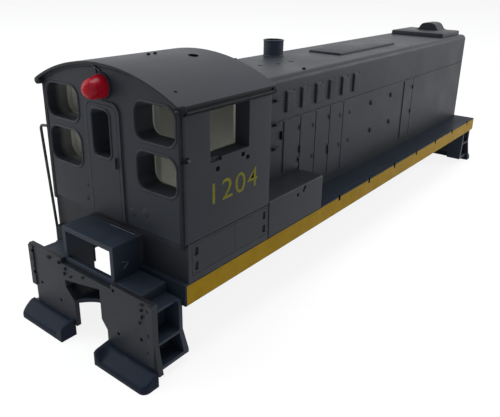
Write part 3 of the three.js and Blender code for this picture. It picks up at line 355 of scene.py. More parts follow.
def paint(tree, where, colour, roughness=0.46, dust=1.0, gloss=0.16, bare=False, stripe=False):
    """Satin paint on moulded plastic: mottled, finely grained, pale on its edges from wear in
    patches and from a painted highlight, with dust on what looks up and a few hair scratches."""
    mottle = spread(tree, noise(tree, where, 95.0, 4.0, 0.6), 0.32, 0.68)
    cloud = spread(tree, noise(tree, where, 26.0), 0.35, 0.65)
    tone = varied(tree, mottle, colour, 0.84, 1.18)
    tone = mixed(tree, times(tree, cloud, 0.35), tone,
                 rgba((colour[0] * 1.2, colour[1] * 1.14, colour[2])))
    if bare:
        # painted shade: tops low on the shell that look up are darker and bluer, and the roof's
        # cut edges, the low end wall and the eaves are darkened
        low = spread(tree, parts_of(tree, where)["Z"], DECK_Z + 0.0085, DECK_Z + 0.0078)
        tone = mixed(tree, times(tree, low, upward(tree)), tone, rgba(colours().walkway, 0.35))
        tone = mixed(tree, painted_shade_zones(tree, where), tone, rgba(colour, 0.25))
    if stripe:
        tone = striped(tree, where, tone)
    rounded = soft_normal(tree, sizes().edge_radius)
    # pale edges: wear in patches, plus a painted highlight that every softened edge gets
    patches = spread(tree, noise(tree, where, 420.0, 3.0), 0.35, 0.6, 0.25, 1.0)
    worn_and_highlight = times(tree, edge_share(tree, rounded), patches, 0.32)
    tone = mixed(tree, worn_and_highlight, tone, rgba(RUBBED_EDGE_AND_HIGHLIGHT))
    # dust: a thin film on top, and pale specks
    film = times(tree, upward(tree), spread(tree, mottle, 0.1, 1.0, 0.12, 0.3), 0.12 * dust)
    tone = mixed(tree, film, tone, rgba(DUST_FILM))
    cells = add(tree, "ShaderNodeTexVoronoi", {
        "Vector": where, "Scale": 420.0}).outputs["Distance"]
    chosen = spread(tree, noise(tree, where, 170.0), 0.56, 0.64)
    specks = times(tree, spread(tree, cells, 0.075, 0.04), chosen, 0.25 * dust)
    tone = mixed(tree, specks, tone, rgba(DUST_SPECK))
    # hair scratches, long and thin
    streak = noise(tree, stretched(tree, where, (1.0, 1.0, 9.0)), 300.0, 1.0)
    hair = times(tree, spread(tree, streak, 0.745, 0.79),
                 spread(tree, noise(tree, where, 60.0, 1.0), 0.5, 0.6), 0.22)
    tone = mixed(tree, hair, tone, rgba(HAIR_SCRATCH))
    rough = spread(tree, mottle, 0.0, 1.0, roughness - 0.05, roughness + 0.07)
    if bare:
        zone = bare_and_reflection_zones(tree, where)
        tone = mixed(tree, zone, tone, varied(tree, mottle, colours().bare, 0.86, 1.1))
        rough = maths(tree, "ADD", times(tree, zone, 0.16), rough)
    grain = maths(tree, "ADD", times(tree, noise(tree, where, 5200.0, 2.0, 0.55), 0.5),
                  times(tree, noise(tree, where, 1100.0), 0.9))
    return {
        "Base Color": tone, "Roughness": rough, "Specular IOR Level": gloss,
        "Normal": relief(tree, grain, 0.32, 0.02, over=rounded)}


def red_plastic(tree, where):
    """Translucent red plastic of the marker lens."""
    depth = spread(tree, noise(tree, where, 500.0), 0.35, 0.65)
    return {
        "Base Color": varied(tree, depth, colours().lens, 0.8, 1.15),
        "Roughness": spread(tree, noise(tree, where, 1500.0), 0.3, 0.7, 0.16, 0.28),
        "Normal": relief(tree, noise(tree, where, 900.0), 0.25, 0.03),
        "Specular IOR Level": 0.05, "Coat Weight": 0.12, "Coat Roughness": 0.03,
        "Subsurface Weight": 0.4, "Subsurface Scale": 0.6,
        "Subsurface Radius": (0.001, 0.0002, 0.0002)}


def clear_plastic(tree, where):
    """Moulded clear plastic of the headlight's lens."""
    rings = add(tree, "ShaderNodeTexWave", {
        "Vector": where, "Scale": 1400.0, "Distortion": 0.4}, wave_type="BANDS",
        bands_direction="Y").outputs["Fac"]
    return {
        "Base Color": mixed(tree, noise(tree, where, 900.0), (0.72, 0.71, 0.67, 1),
                            (0.86, 0.85, 0.82, 1)),
        "Roughness": spread(tree, rings, 0.0, 1.0, 0.06, 0.14),
        "Normal": relief(tree, rings, 0.4, 0.04),
        "Transmission Weight": 0.7}


def dark_wire(tree, where):
    """Steel wire, darkened, with bright worn patches."""
    worn = spread(tree, noise(tree, where, 600.0, 3.0, 0.6), 0.45, 0.7)
    drawn = noise(tree, stretched(tree, where, (1.0, 1.0, 0.1)), 5000.0)
    return {
        "Base Color": varied(tree, worn, colours().metal, 0.8, 2.2),
        "Roughness": spread(tree, worn, 0.0, 1.0, 0.5, 0.34),
        "Normal": relief(tree, drawn, 0.25, 0.01),
        "Metallic": 0.65}


def number_ink(tree, where):
    """Thin printed ink that lets the dark paint through in places."""
    thin = spread(tree, noise(tree, where, 900.0, 4.0, 0.7), 0.4, 0.72)
    ink = varied(tree, noise(tree, where, 2400.0), colours().number, 0.8, 1.2)
    return {
        "Base Color": mixed(tree, times(tree, thin, 0.5), ink, rgba(colours().body, 1.6)),
        "Roughness": spread(tree, thin, 0.0, 1.0, 0.45, 0.55),
        "Normal": relief(tree, noise(tree, where, 5200.0), 0.2, 0.01),
        "Specular IOR Level": 0.1}


# Paints: the colour that each starts from, its strength, and how it lies
PAINTS = {
    "body_paint": ("body", 1.0, {"bare": True}),
    "walkway_paint": ("walkway", 0.8, {"roughness": 0.52, "dust": 0.1, "gloss": 0.07}),
    # a lighter copy of the walkway paint for the pocket, platforms, steps and pilot tray: painted
    # light on them
    "end_paint": ("walkway", 1.4, {"roughness": 0.45, "dust": 0.3, "gloss": 0.14}),
    "board_paint": ("board", 1.0, {"roughness": 0.5, "dust": 0.12, "gloss": 0.08}),
    "sill_paint": ("walkway", 1.0, {"dust": 0.0, "gloss": 0.05, "stripe": True}),
    # a lighter copy of the body paint: painted highlight on thin beads and wires
    "rubbed_paint": ("body", 2.6, {"roughness": 0.4}),
    # a darker copy of the body paint: painted shade on the corner posts, louvre slats and
    # latches, and darker marks on the end wall and pilot
    "dull_paint": ("body", 0.6, {"dust": 0.0, "gloss": 0.1}),
    "stack_paint": ("stack", 1.0, {"roughness": 0.5, "dust": 0.4, "gloss": 0.18}),
    # near black: painted shade of a hole
    "slot_paint": ("body", 0.1, {"roughness": 0.8, "dust": 0.0, "gloss": 0.0}),
    # a much darker copy of the body paint: painted shade in gutters, shadow lines, handles'
    # slots, holes and the near roof corner
    "recess_paint": ("body", 0.3, {"dust": 0.0, "gloss": 0.05}),
}
OTHER_FINISHES = {
    "lens_red": red_plastic, "lens_clear": clear_plastic, "wire_steel": dark_wire,
    "number_ink": number_ink,
}
SLOT_FINISHES = {
    "body": "body_paint", "walkway": "walkway_paint", "stripe": "sill_paint",
    "red_lens": "lens_red", "clear_lens": "lens_clear", "wire": "wire_steel",
}


def finish(name):
    """Each finish is made once, on its first use."""
    if name in bpy.data.materials:
        return bpy.data.materials[name]
    material, tree = new_material(name)
    # coordinates in metres of the row frame: every piece's object sits at its origin
    where = add(tree, "ShaderNodeTexCoord").outputs["Object"]
    if name in PAINTS:
        base, strength, settings = PAINTS[name]
        colour = [part * strength for part in getattr(colours(), base)]
        look = paint(tree, where, colour, **settings)
    else:
        look = OTHER_FINISHES[name](tree, where)
    shader = add(tree, "ShaderNodeBsdfPrincipled", look)
    add(tree, "ShaderNodeOutputMaterial", {"Surface": shader.outputs["BSDF"]})
    return material


def slot_of(node):
    for row in frame["record"]["subparts"]:
        if row["node"] == node:
            return row["material_slot"]
    raise KeyError(node)


# ---------------------------------------------------------------- mesh making

def piece_from(bm, name, slot, finish_name=None, sharp=SHARP):
    """Turns a mesh in row-frame metres into a riding piece."""
    bmesh.ops.recalc_face_normals(bm, faces=bm.faces)
    for face in bm.faces:
        face.smooth = True
    for edge in bm.edges:
        edge.smooth = edge.is_manifold and edge.calc_face_angle(math.pi) < sharp
    data = bpy.data.meshes.new(name)
    layer = bm.faces.layers.int.get("flat")
    flags = [face[layer] for face in bm.faces] if layer else None
    bm.to_mesh(data)
    bm.free()
    if flags:
        harden(data, flags)
    piece = bpy.data.objects.new(name, data)
    bpy.context.scene.collection.objects.link(piece)
    data.materials.append(finish(finish_name or SLOT_FINISHES[slot]))
    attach(piece, "root")
    return piece


def harden(data, flags):
    """Keeps the flats flat and lets the rounding beside them blend into them."""
    beside = {}
    for face, flat in zip(data.polygons, flags):
        if flat:
            for vert in face.vertices:
                beside.setdefault(vert, []).append((face.normal.copy(), face.area))
    normals = []
    for face, flat in zip(data.polygons, flags):
        limit = 0.87 if flat else 0.6
        for vert in face.vertices:
            total = Vector()
            for normal, area in beside.get(vert, ()):
                if normal.dot(face.normal) > limit:
                    total += normal * area
            normals.append(total.normalized() if total.length
                           else data.vertices[vert].normal.copy())
    data.normals_split_custom_set(normals)


def welded(node):
    """The node's mesh with its split corners joined again."""
    bm = bmesh.new()
    bm.from_mesh(frame["nodes"][node].data)
    for layer in list(bm.loops.layers.uv.values()):
        bm.loops.layers.uv.remove(layer)
    bmesh.ops.remove_doubles(bm, verts=bm.verts, dist=1e-7)
    return bm


def softened(node, radius=0.0, finish_name=None, name=None):
    """A smoothly shaded moulding in place of a node, with rounded edges where asked."""
    bm = welded(node)
    if radius:
        bmesh.ops.dissolve_limit(bm, angle_limit=math.radians(0.6), verts=bm.verts,
                                 edges=bm.edges)
        corners = [edge for edge in bm.edges if edge.is_manifold
                   and edge.calc_face_angle(0) > math.radians(40)]
        flat = bm.faces.layers.int.new("flat")
        for face in bm.faces:
            face[flat] = 1
        made = bmesh.ops.bevel(bm, geom=corners, offset=radius * MM, offset_type="OFFSET",
                               segments=2, profile=0.5, affect="EDGES", clamp_overlap=True)
        for face in made["faces"]:
            face[flat] = 0
        bmesh.ops.triangulate(bm, faces=[f for f in bm.faces if len(f.verts) > 4])
    piece = piece_from(bm, name or node + "_moulding", slot_of(node), finish_name)
    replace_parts(piece, node)


def ring_of(bm, points):
    return [bm.verts.new(point) for point in points]


def bridged(bm, a, b, closed=True):
    """Faces between two rows of corners."""
    count = len(a)
    for i in range(count if closed else count - 1):
        j = (i + 1) % count
        bm.faces.new((a[i], a[j], b[j], b[i]))


def lofted(name, slot, bodies, finish_name=None, sharp=SHARP):
    """Piece of closed bodies, each of which runs through its outlines one after another."""
    bm = bmesh.new()
    for outlines in bodies:
        rings = [ring_of(bm, outline) for outline in outlines]
        for a, b in zip(rings, rings[1:]):
            bridged(bm, a, b)
        bm.faces.new(rings[0])
        bm.faces.new(list(reversed(rings[-1])))
    return piece_from(bm, name, slot, finish_name, sharp)


def angles(sides):
    """Angles once round, in equal steps."""
    return [2 * math.pi * k / sides for k in range(sides)]


def circle(middle, side, other, radius, sides):
    return [middle + (side * math.cos(t) + other * math.sin(t)) * radius for t in angles(sides)]


def turned(centre, axis, profile, sides=20):
    """Turned body: profile holds (along, radius) pairs in millimetres."""
    axis = Vector(axis).normalized()
    side = axis.orthogonal().normalized()
    other = axis.cross(side)
    return [circle(centre + axis * (along * MM), side, other, radius * MM, sides)
            for along, radius in profile]


def rounded_path(u0, u1, v0, v1, radius, steps=10):
    """Closed path round a rectangle with round corners, with its outward directions."""
    corners = [(u1 - radius, v0 + radius, -90), (u1 - radius, v1 - radius, 0),
               (u0 + radius, v1 - radius, 90), (u0 + radius, v0 + radius, 180)]
    path = []
    for cu, cv, start in corners:
        for k in range(steps + 1):
            t = math.radians(start + 90 * k / steps)
            path.append(((cu + radius * math.cos(t), cv + radius * math.sin(t)),
                         (math.cos(t), math.sin(t))))
    return path


def plate(half_wide, half_tall, corner, levels):
    """Round-cornered plate: levels hold how far out and how far in from the edge it runs,
    and corner is a share of its shorter half."""
    outlines = []
    for out, inset in levels:
        wide, tall = half_wide - inset, half_tall - inset
        path = rounded_path(-wide, wide, -tall, tall, corner * min(half_wide, half_tall), 4)
        outlines.append([(u, v, out) for (u, v), _ in path])
    return outlines


def rim(bm, path, face_x, width, height, sides=8):
    """Half-round rim swept along a path on a wall that faces the cab end."""
    loops = []
    for (u, v), (nu, nv) in path:
        loop = []
        for k in range(sides + 1):
            t = math.pi * k / sides
            out = width / 2 * (1 + math.cos(t)) / MM
            loop.append(at(face_x - height / MM * math.sin(t), u + nu * out, v + nv * out))
        loops.append(ring_of(bm, loop))
    for a, b in zip(loops, loops[1:] + loops[:1]):
        bridged(bm, a, b)


def tube(points, radius, sides=14):
    """Round wire through points in row-frame metres."""
    last = len(points) - 1
    side = None
    outlines = []
    for i, point in enumerate(points):
        ahead = (points[min(i + 1, last)] - points[max(i - 1, 0)]).normalized()
        side = ahead.orthogonal() if side is None else side - ahead * side.dot(ahead)
        side.normalize()
        outlines.append(circle(point, side, ahead.cross(side), radius, sides))
    return outlines


def route(corners, bend, steps=8):
    """Points along straight runs with a rounded bend at each inner corner."""
    points = [corners[0]]
    for before, corner, after in zip(corners, corners[1:], corners[2:]):
        start = corner + (before - corner).normalized() * bend
        end = corner + (after - corner).normalized() * bend
        points += [start.lerp(corner, t).lerp(corner.lerp(end, t), t)
                   for t in (k / steps for k in range(steps + 1))]
    points.append(corners[-1])
    return points


def rod(start, end, radius):
    """Straight round bead between two places in millimetres."""
    return tube([at(*start), at(*end)], radius * MM, 10)


def ease(value, start, end):
    """Rises softly from 0 at start to 1 at end."""
    t = min(1.0, max(0.0, (value - start) / (end - start)))
    return t * t * (3 - 2 * t)


def fall(inward, radius):
    """How far a rounded edge has fallen at this distance inward from it."""
    if inward >= radius:
        return 0.0
    return radius - math.sqrt(radius ** 2 - (radius - max(inward, 0.0)) ** 2)


# ---------------------------------------------------------------- operators

class SWITCHER_OT_paint_frame(bpy.types.Operator):
    """Give every solid of the frame its painted, bare or metal finish."""
    bl_idname = "switcher.paint_frame"
    bl_label = "Paint the frame"

    def execute(self, context):
        for name, solid in frame["nodes"].items():
            material = finish(SLOT_FINISHES[slot_of(name)])
            if solid.material_slots:
                for row in solid.material_slots:
                    row.material = material
            else:
                solid.data.materials.append(material)
        return {"FINISHED"}


class SWITCHER_OT_smooth_mouldings(bpy.types.Operator):
    """Stand smoothly shaded mouldings in for the faceted cab, roof, hood, pilots and steps."""
    bl_idname = "switcher.smooth_mouldings"
    bl_label = "Smooth the mouldings"

    def execute(self, context):
        for node in ("cab_shell", "cab_roof", "hood_shell", "headlight_housing",
                     "radiator_housing", "roof_hatch", "cab_door"):
            softened(node)
        softened("pilot_tray_rear", 0.0, "end_paint", "pilot_tray_moulding")
        edge_radii = {
            "coupler_pocket_rear": 0.1, "platform_near": 0.12, "platform_far": 0.12,
            "toolbox_near": 0.15, "toolbox_far": 0.15, "steps_rear_near": 0.09,
            "steps_rear_far": 0.09, "steps_front_near": 0.09, "steps_front_far": 0.09,
            "pilot_rear": 0.1, "pilot_front": 0.1, "radiator_grille": 0.04,
        }
        for node, radius in edge_radii.items():
            # pieces at the ends take the lighter copy of the walkway paint: painted light
            end_piece = node.startswith(("coupler", "platform", "steps"))
            softened(node, radius, "end_paint" if end_piece else None)
        # the gutters take the darkest paint: painted shade under the eaves
        for node in ("gutter_near", "gutter_far"):
            softened(node, 0.08, "recess_paint")
        return {"FINISHED"}


class SWITCHER_OT_window_rims(bpy.types.Operator):
    """Round raised rims about the end windows and the door's window."""
    bl_idname = "switcher.window_rims"
    bl_label = "Window rims"

    def execute(self, context):
        for node in ("window_gasket_upper_near", "window_gasket_upper_far",
                     "window_gasket_lower_near", "window_gasket_lower_far",
                     "door_window_gasket"):
            self.make(node)
        return {"FINISHED"}

    def make(self, node):
        low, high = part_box(node)
        inset = 0.35
        corner = 1.0 if node.startswith("door") else 1.75
        path = rounded_path(
            (low.y - MIDDLE_Y) / MM + inset, (high.y - MIDDLE_Y) / MM - inset,
            (low.z - DECK_Z) / MM + inset, (high.z - DECK_Z) / MM - inset, corner)
        bm = bmesh.new()
        rim(bm, path, (high.x - END_X) / MM, sizes().rim_width, sizes().rim_height)
        piece = piece_from(bm, node.replace("gasket", "rim"), "body", sharp=math.radians(60))
        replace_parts(piece, node)


class SWITCHER_OT_marker_light(bpy.types.Operator):
    """Red lens on its dark base above the cab door."""
    bl_idname = "switcher.marker_light"
    bl_label = "Marker light"

    def execute(self, context):
        low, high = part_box("marker_base")
        centre = Vector((high.x, (low.y + high.y) / 2, (low.z + high.z) / 2))
        body = turned(centre, (-1, 0, 0), [
            (0.0, 2.2), (0.12, 2.2), (0.22, 2.14), (0.28, 2.02), (0.34, 1.8)], 48)
        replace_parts(lofted("marker_socket", "walkway", [body]), "marker_base")
        low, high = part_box("marker_lens")
        radius = (high.z - low.z) / 2 / MM
        skirt, tip, steps = 2.1, 3.75, 17
        profile = [(0.1, radius), (0.7, radius * 0.99), (1.4, radius * 0.94)]
        for k in range(steps):
            t = math.pi / 2 * k / steps
            profile.append((skirt + (tip - skirt) * math.sin(t), radius * 0.86 * math.cos(t)))
        body = turned(centre, (-1, 0, -0.1), profile, 56)
        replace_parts(lofted("marker_glass", "red_lens", [body]), "marker_lens")
        return {"FINISHED"}


class SWITCHER_OT_handrails(bpy.types.Operator):
    """Round wires at the cab's rear corners."""
    bl_idname = "switcher.handrails"
    bl_label = "Handrails"

    def execute(self, context):
        radius = sizes().wire_radius
        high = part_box("corner_handrail")[1]
        x, top = high.x - radius, high.z - radius
        far_side = MIDDLE_Y + HALF_DECK
        corners = [
            Vector((x, far_side - 0.0003, top)),
            Vector((x, far_side + 0.0031, top - 0.00035)),
            Vector((END_X - 0.000175, far_side - 0.0002, DECK_Z + 0.00005)),
        ]
        body = tube(route(corners, 0.0009), radius)
        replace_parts(lofted("corner_wire", "wire", [body], sharp=math.radians(50)),
                    "corner_handrail")
        low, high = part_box("handrail_stub")
        middle = (low + high) / 2
        thick = radius / MM
        body = turned(Vector((middle.x, high.y, middle.z)), (0, -1, 0), [
            (0.0, thick), (0.98, thick), (1.06, thick - 0.04), (1.1, thick - 0.15)])
        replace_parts(lofted("corner_pin", "wire", [body]), "handrail_stub")
        return {"FINISHED"}


class SWITCHER_OT_exhaust_stack(bpy.types.Operator):
    """Turned stack with a soft lip and a deep bore."""
    bl_idname = "switcher.exhaust_stack"
    bl_label = "Exhaust stack"

    def execute(self, context):
        low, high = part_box("exhaust_stack")
        centre = Vector(((low.x + high.x) / 2, (low.y + high.y) / 2, low.z))
        tall = (high.z - low.z) / MM
        wide = (high.x - low.x) / 2 / MM
        body = turned(centre, (0, 0, 1), [
            (0.0, wide), (0.12, wide), (0.3, wide - 0.12), (tall - 0.35, wide - 0.1),
            (tall - 0.2, wide), (tall - 0.06, wide - 0.03), (tall, wide - 0.14),
            (tall, wide - 0.42), (tall - 0.1, wide - 0.5), (tall - 2.3, wide - 0.55),
            (tall - 2.4, wide - 0.7)], 56)
        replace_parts(lofted("stack", "walkway", [body], "stack_paint"), "exhaust_stack")
        return {"FINISHED"}


class SWITCHER_OT_footboards(bpy.types.Operator):
    """Footboards moulded in one sweep: plank, riser and end wall with soft hollows."""
    bl_idname = "switcher.footboards"
    bl_label = "Footboards"

    def execute(self, context):
        for place in ("rear_near", "rear_far", "front_near", "front_far"):
            self.make("footboard_" + place)
        return {"FINISHED"}

    def make(self, node):
        low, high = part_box(node)
        rear = low.x < END_X
        near = low.y < MIDDLE_Y - 0.005
        deep = (high.x - low.x) / MM
        wide = (high.y - low.y) / MM
        # heights above the sole, radii of the edges, and how deep the straight rows reach
        plank, riser, wall_back, wall_front, thinnest = 1.3, 3.0, 3.2, 2.7, 0.25
        corner_radius, front_radius, outer_radius = 1.2, 0.8, 0.4
        straight = 1.35
        backs = [0.0, 0.12, 0.3, 0.5, 0.6, 0.7, 0.8, 0.9, 1.0, 1.15, 1.35, 1.55, 1.75, 1.95,
                 2.15, 2.4]
        backs += [deep - off for off in (0.6, 0.45, 0.3, 0.18, 0.08, 0.02, 0.0)]
        sides = [0.0, 0.1, 0.25, 0.45, 0.55, 0.65, 0.75, 0.85, 0.95, 1.1, 1.3, 1.5, 1.8, 2.1,
                 2.4, 2.7, 3.5, 6.0, 8.5]
        sides += [wide - off for off in (2.5, 1.2, 0.85, 0.55, 0.3, 0.15, 0.05, 0.0)]
        bm = bmesh.new()
        rows = []
        for side in sorted(set(round(side, 4) for side in sides)):
            inward = max(0.0, wide - side)
            reach = deep - fall(inward, corner_radius)
            row = []
            for back in backs:
                if back > straight:
                    back = straight + (back - straight) * (reach - straight) / (deep - straight)
                height = plank - fall(reach - back, front_radius) - fall(inward, outer_radius)
                height += (riser - height) * (1 - ease(back, 0.3, 2.9)) * 0.75
                wall = wall_back + (wall_front - wall_back) * back / deep
                wall -= 0.25 * ease(back, deep - 0.5, deep)
                height += max(0.0, wall - height) * (1 - ease(side, 0.2, 1.7))
                x = high.x - back * MM if rear else low.x + back * MM
                y = high.y - side * MM if near else low.y + side * MM
                row.append((x, y, low.z + max(height, thinnest) * MM))
            rows.append(ring_of(bm, row))
        for a, b in zip(rows, rows[1:]):
            bridged(bm, a, b, closed=False)
        edge = (rows[0] + [row[-1] for row in rows[1:-1]] + rows[-1][::-1]
                + [row[0] for row in rows[-2:0:-1]])
        sole = ring_of(bm, [(vert.co.x, vert.co.y, low.z) for vert in edge])
        bridged(bm, edge, sole)
        bm.faces.new(sole)
        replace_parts(piece_from(bm, node + "_moulding", "walkway", "board_paint",
                               math.radians(50)), node)


class SWITCHER_OT_louvres(bpy.types.Operator):
    """Fine slats, door handles and latches on both sides of the hood."""
    bl_idname = "switcher.louvres"
    bl_label = "Louvres"

    def execute(self, context):
        for side, name in SIDES:
            # painted shade: slats and latches take the darker paint, and the handles the darkest
            lofted("louvre_slats_" + name, "body", [
                self.bank(side, start) for start in BANK_STARTS], "dull_paint", math.radians(20))
            lofted("door_handles_" + name, "body", [
                self.plate_on(side, x, z, 0.26, 0.85, 0.45) for x, z in HANDLE_PLACES],
                "recess_paint")
            lofted("door_latches_" + name, "body", [
                self.plate_on(side, x, z, 0.6, 0.55, 0.3) for x, z in LATCH_PLACES],
                "dull_paint")
        return {"FINISHED"}

    def bank(self, side, start):
        """Saw-toothed strip: each slat stands out at its foot and leans back to its top."""
        slats = 11
        wall, foot, nose, back = 11.2, 11.47, 11.46, 11.36
        pitch = (BANK_TOP - BANK_BOTTOM) / slats
        section = [(wall, BANK_BOTTOM)]
        for k in range(slats):
            z = BANK_BOTTOM + k * pitch
            section += [(foot, z + 0.04), (nose, z + 0.14), (back, z + pitch)]
        section.append((wall, BANK_TOP))
        return [[at(x, side * y, z) for y, z in section] for x in (start + 0.16, start + 2.7)]

    def plate_on(self, side, x, z, half_wide, half_tall, proud):
        """Small chamfered plate on the hood's side."""
        outlines = plate(half_wide, half_tall, 0.4, (
            (HOOD_SIDE - 0.3, 0.0), (HOOD_SIDE + proud - 0.08, 0.0), (HOOD_SIDE + proud, 0.1)))
        return [[at(x + u, side * out, z + v) for u, v, out in outline] for outline in outlines]


class SWITCHER_OT_cab_trim(bpy.types.Operator):
    """Posts, painted shadow lines, caps, studs and beads of the cab, and small marks on pilot and
    roofs.
    """
    bl_idname = "switcher.cab_trim"
    bl_label = "Cab trim"

    def execute(self, context):
        for side, name in SIDES:
            self.posts(side, name)
            self.caps(side, name)
            if name == "near":
                self.socket()
            self.eave(side, name)
        self.end_wall()
        self.pocket()
        self.pilot()
        self.roof()
        return {"FINISHED"}

    def posts(self, side, name):
        section = [(-0.13 * math.sin(t) + 0.02, side * (16.68 - 0.38 * math.cos(t)))
                   for t in (math.pi * k / 8 for k in range(9))]
        # the posts take the darker paint: painted shade along the cab's rear corners
        lofted("corner_post_" + name, "body", [
            [[at(x, y, z) for x, y in section] for z in POST_ENDS]], "dull_paint")
        # a dark rod beside each post: a painted shadow line at the corner
        low, high = [(0.06, side * 17.2, z) for z in POST_ENDS]
        lofted("corner_seam_" + name, "body", [rod(low, high, 0.12)], "recess_paint")

    def caps(self, side, name):
        """Round ends of the roof's corners: name, middle, way they look, sides of the round,
        height as a share of the width, profile and finish."""
        rows = (
            # the near rear cap takes the darkest paint: painted shadow at the roof's corner
            ("roof_corner_cap_", (0.25, 17.4, 28.4), -1, 32, 0.9,
             ((0.0, 0.74), (1.1, 0.74), (1.22, 0.64), (1.25, 0.4)),
             "recess_paint" if name == "near" else "body_paint"),
            ("roof_corner_face_", (-0.9, 17.4, 28.3), -1, 32, 0.5,
             ((0.0, 0.5), (0.15, 0.5), (0.22, 0.38), (0.25, 0.2)), "body_paint"),
            ("roof_front_cap_", (21.5, 17.75, 28.05), 1, 24, 1.3,
             ((0.0, 0.42), (0.72, 0.42), (0.8, 0.34), (0.84, 0.2)), "recess_paint"),
        )
        for label, (x, y, z), way, sides, share, profile, finish_name in rows:
            body = turned(at(x, side * y, z), (way, 0, 0), profile, sides)
            middle = at(0, 0, z).z
            for outline in body:
                for point in outline:
                    point.z = middle + (point.z - middle) * share
            lofted(label + name, "body", [body], finish_name)

    def socket(self):
        # the socket takes the darkest paint: painted shade of the hole round the handrail's foot
        lofted("handrail_socket", "walkway", [turned(at(0.3, -16.9, 20.65), (-0.75, -1, 0), [
            (0.0, 0.5), (0.62, 0.5), (0.75, 0.42), (0.8, 0.25)], 24)], "recess_paint")

    def eave(self, side, name):
        lofted("eave_bead_" + name, "body", [
            rod((0.35, side * 18.07, 27.98), (21.65, side * 18.07, 27.98), 0.11)])
        # a dark rod under the eave bead: a painted shadow line under the gutter
        lofted("eave_seam_" + name, "body", [
            rod((0.2, side * 17.5, 27.45), (21.8, side * 17.5, 27.45), 0.14)], "recess_paint")

    def end_wall(self):
        lofted("end_wall_bosses", "body", [turned(at(0.0, y, z), (-1, 0, 0), [
            (-0.1, 0.75), (-0.01, 0.75), (0.04, 0.66), (0.07, 0.45), (0.08, 0.2)], 28)
            for y, z in ((-5.44, 9.25), (-8.66, 10.0))])
        lofted("end_wall_pips", "body", [turned(at(0.0, y, z), (-1, 0, 0), [
            (-0.1, wide), (0.02, wide), (0.05, wide * 0.7), (0.06, wide * 0.3)])
            for y, z, wide in ((6.35, 11.09, 0.28), (6.69, 8.51, 0.36), (3.43, 9.76, 0.3),
                               (3.59, 8.39, 0.26))], "dull_paint")
        # the bracket's rods take the lighter paint: a painted highlight
        lofted("marker_bracket", "body", [
            rod((-0.12, 3.0, 33.05), (-0.12, 0.4, 31.95), 0.14),
            rod((-0.12, 1.6, 32.4), (-0.12, 1.35, 31.2), 0.12)], "rubbed_paint")

    def pocket(self):
        """Bead, hook and sill of the coupler pocket."""
        # bead and hook take the lighter paint: painted highlights on the pocket's lip and on the
        # hook
        lofted("pocket_top_bead", "walkway", [
            rod((-0.22, 0.5, 5.3), (-0.22, -5.8, 5.3), 0.09)], "rubbed_paint")
        bends = [at(-4.1, -6.88, 2.2), at(-2.75, -6.9, 1.62), at(-3.75, -6.88, 0.75)]
        lofted("pocket_hook", "walkway", [tube(route(bends, 0.0002), 0.13 * MM)],
               "rubbed_paint")
        section = ((-5.85, -2.4), (-4.7, -2.4), (-4.55, -2.2), (-4.6, -1.95), (-4.75, -1.88),
                   (-5.85, -1.88))
        lofted("pocket_sill", "walkway", [
            [[at(x, y, z) for x, z in section] for y in (-5.4, 5.4)]])

    def pilot(self):
        """Raised mould marks on the rear pilot's plate."""
        bodies = []
        for y, z, half_wide, half_tall in MARK_PLACES:
            outlines = plate(half_wide * MARK_SHARE, half_tall * MARK_SHARE, 0.45,
                             ((-6.6, 0.0), (-6.98, 0.0), (-7.02, 0.05)))
            bodies.append([[at(out, y + u, z + v) for u, v, out in outline]
                           for outline in outlines])
        lofted("pilot_marks", "body", bodies, "dull_paint")

    def pad(self, outline, proud):
        """Pad that follows the roof's curve."""
        return [[at(x, y, 32.5) for x, y in outline],
                [at(x, y, math.sqrt(ROOF_RADIUS ** 2 - y ** 2) + ROOF_AXIS + proud)
                 for x, y in outline]]

    def roof(self):
        # pins and eyes take the darkest paint: painted shade of the roofs' small holes and studs
        lofted("horn_pins", "body", [turned(at(x, y, 33.0), (0, 0, 1), [
            (0.0, 0.3), (0.62, 0.3), (0.68, 0.25), (0.7, 0.12)])
            for x, y in ((10.3, 0.52), (11.9, 0.6))], "recess_paint")
        path = rounded_path(-0.4, 0.4, -0.95, 0.95, 0.26, 5)
        lofted("roof_slot_plug", "body", [
            self.pad([(16.9 + u, -4.9 + v) for (u, v), _ in path], 0.004)])
        # a pad in near-black paint: painted shade of the vent's hole
        lofted("roof_vent_pad", "body", [
            self.pad([(16.3 + 0.9 * math.cos(t), -4.3 + 0.9 * math.sin(t))
                      for t in angles(32)], 0.06)], "slot_paint")
        flat_eyes = [turned(at(x, y, 27.9), (0, 0, 1), [(0.0, 0.5), (0.12, 0.5), (0.16, 0.4)])
                     for x, y in ((41.8, 0.3), (46.4, -1.32), (51.4, -1.2))]
        tall_eyes = [turned(at(44.4, y, 27.8), (0, 0, 1), [
            (0.0, 0.42), (0.32, 0.42), (0.5, 0.34), (0.58, 0.16)]) for y in (-9.3, 9.3)]
        lofted("hood_roof_eyes", "body", flat_eyes + tall_eyes, "recess_paint")


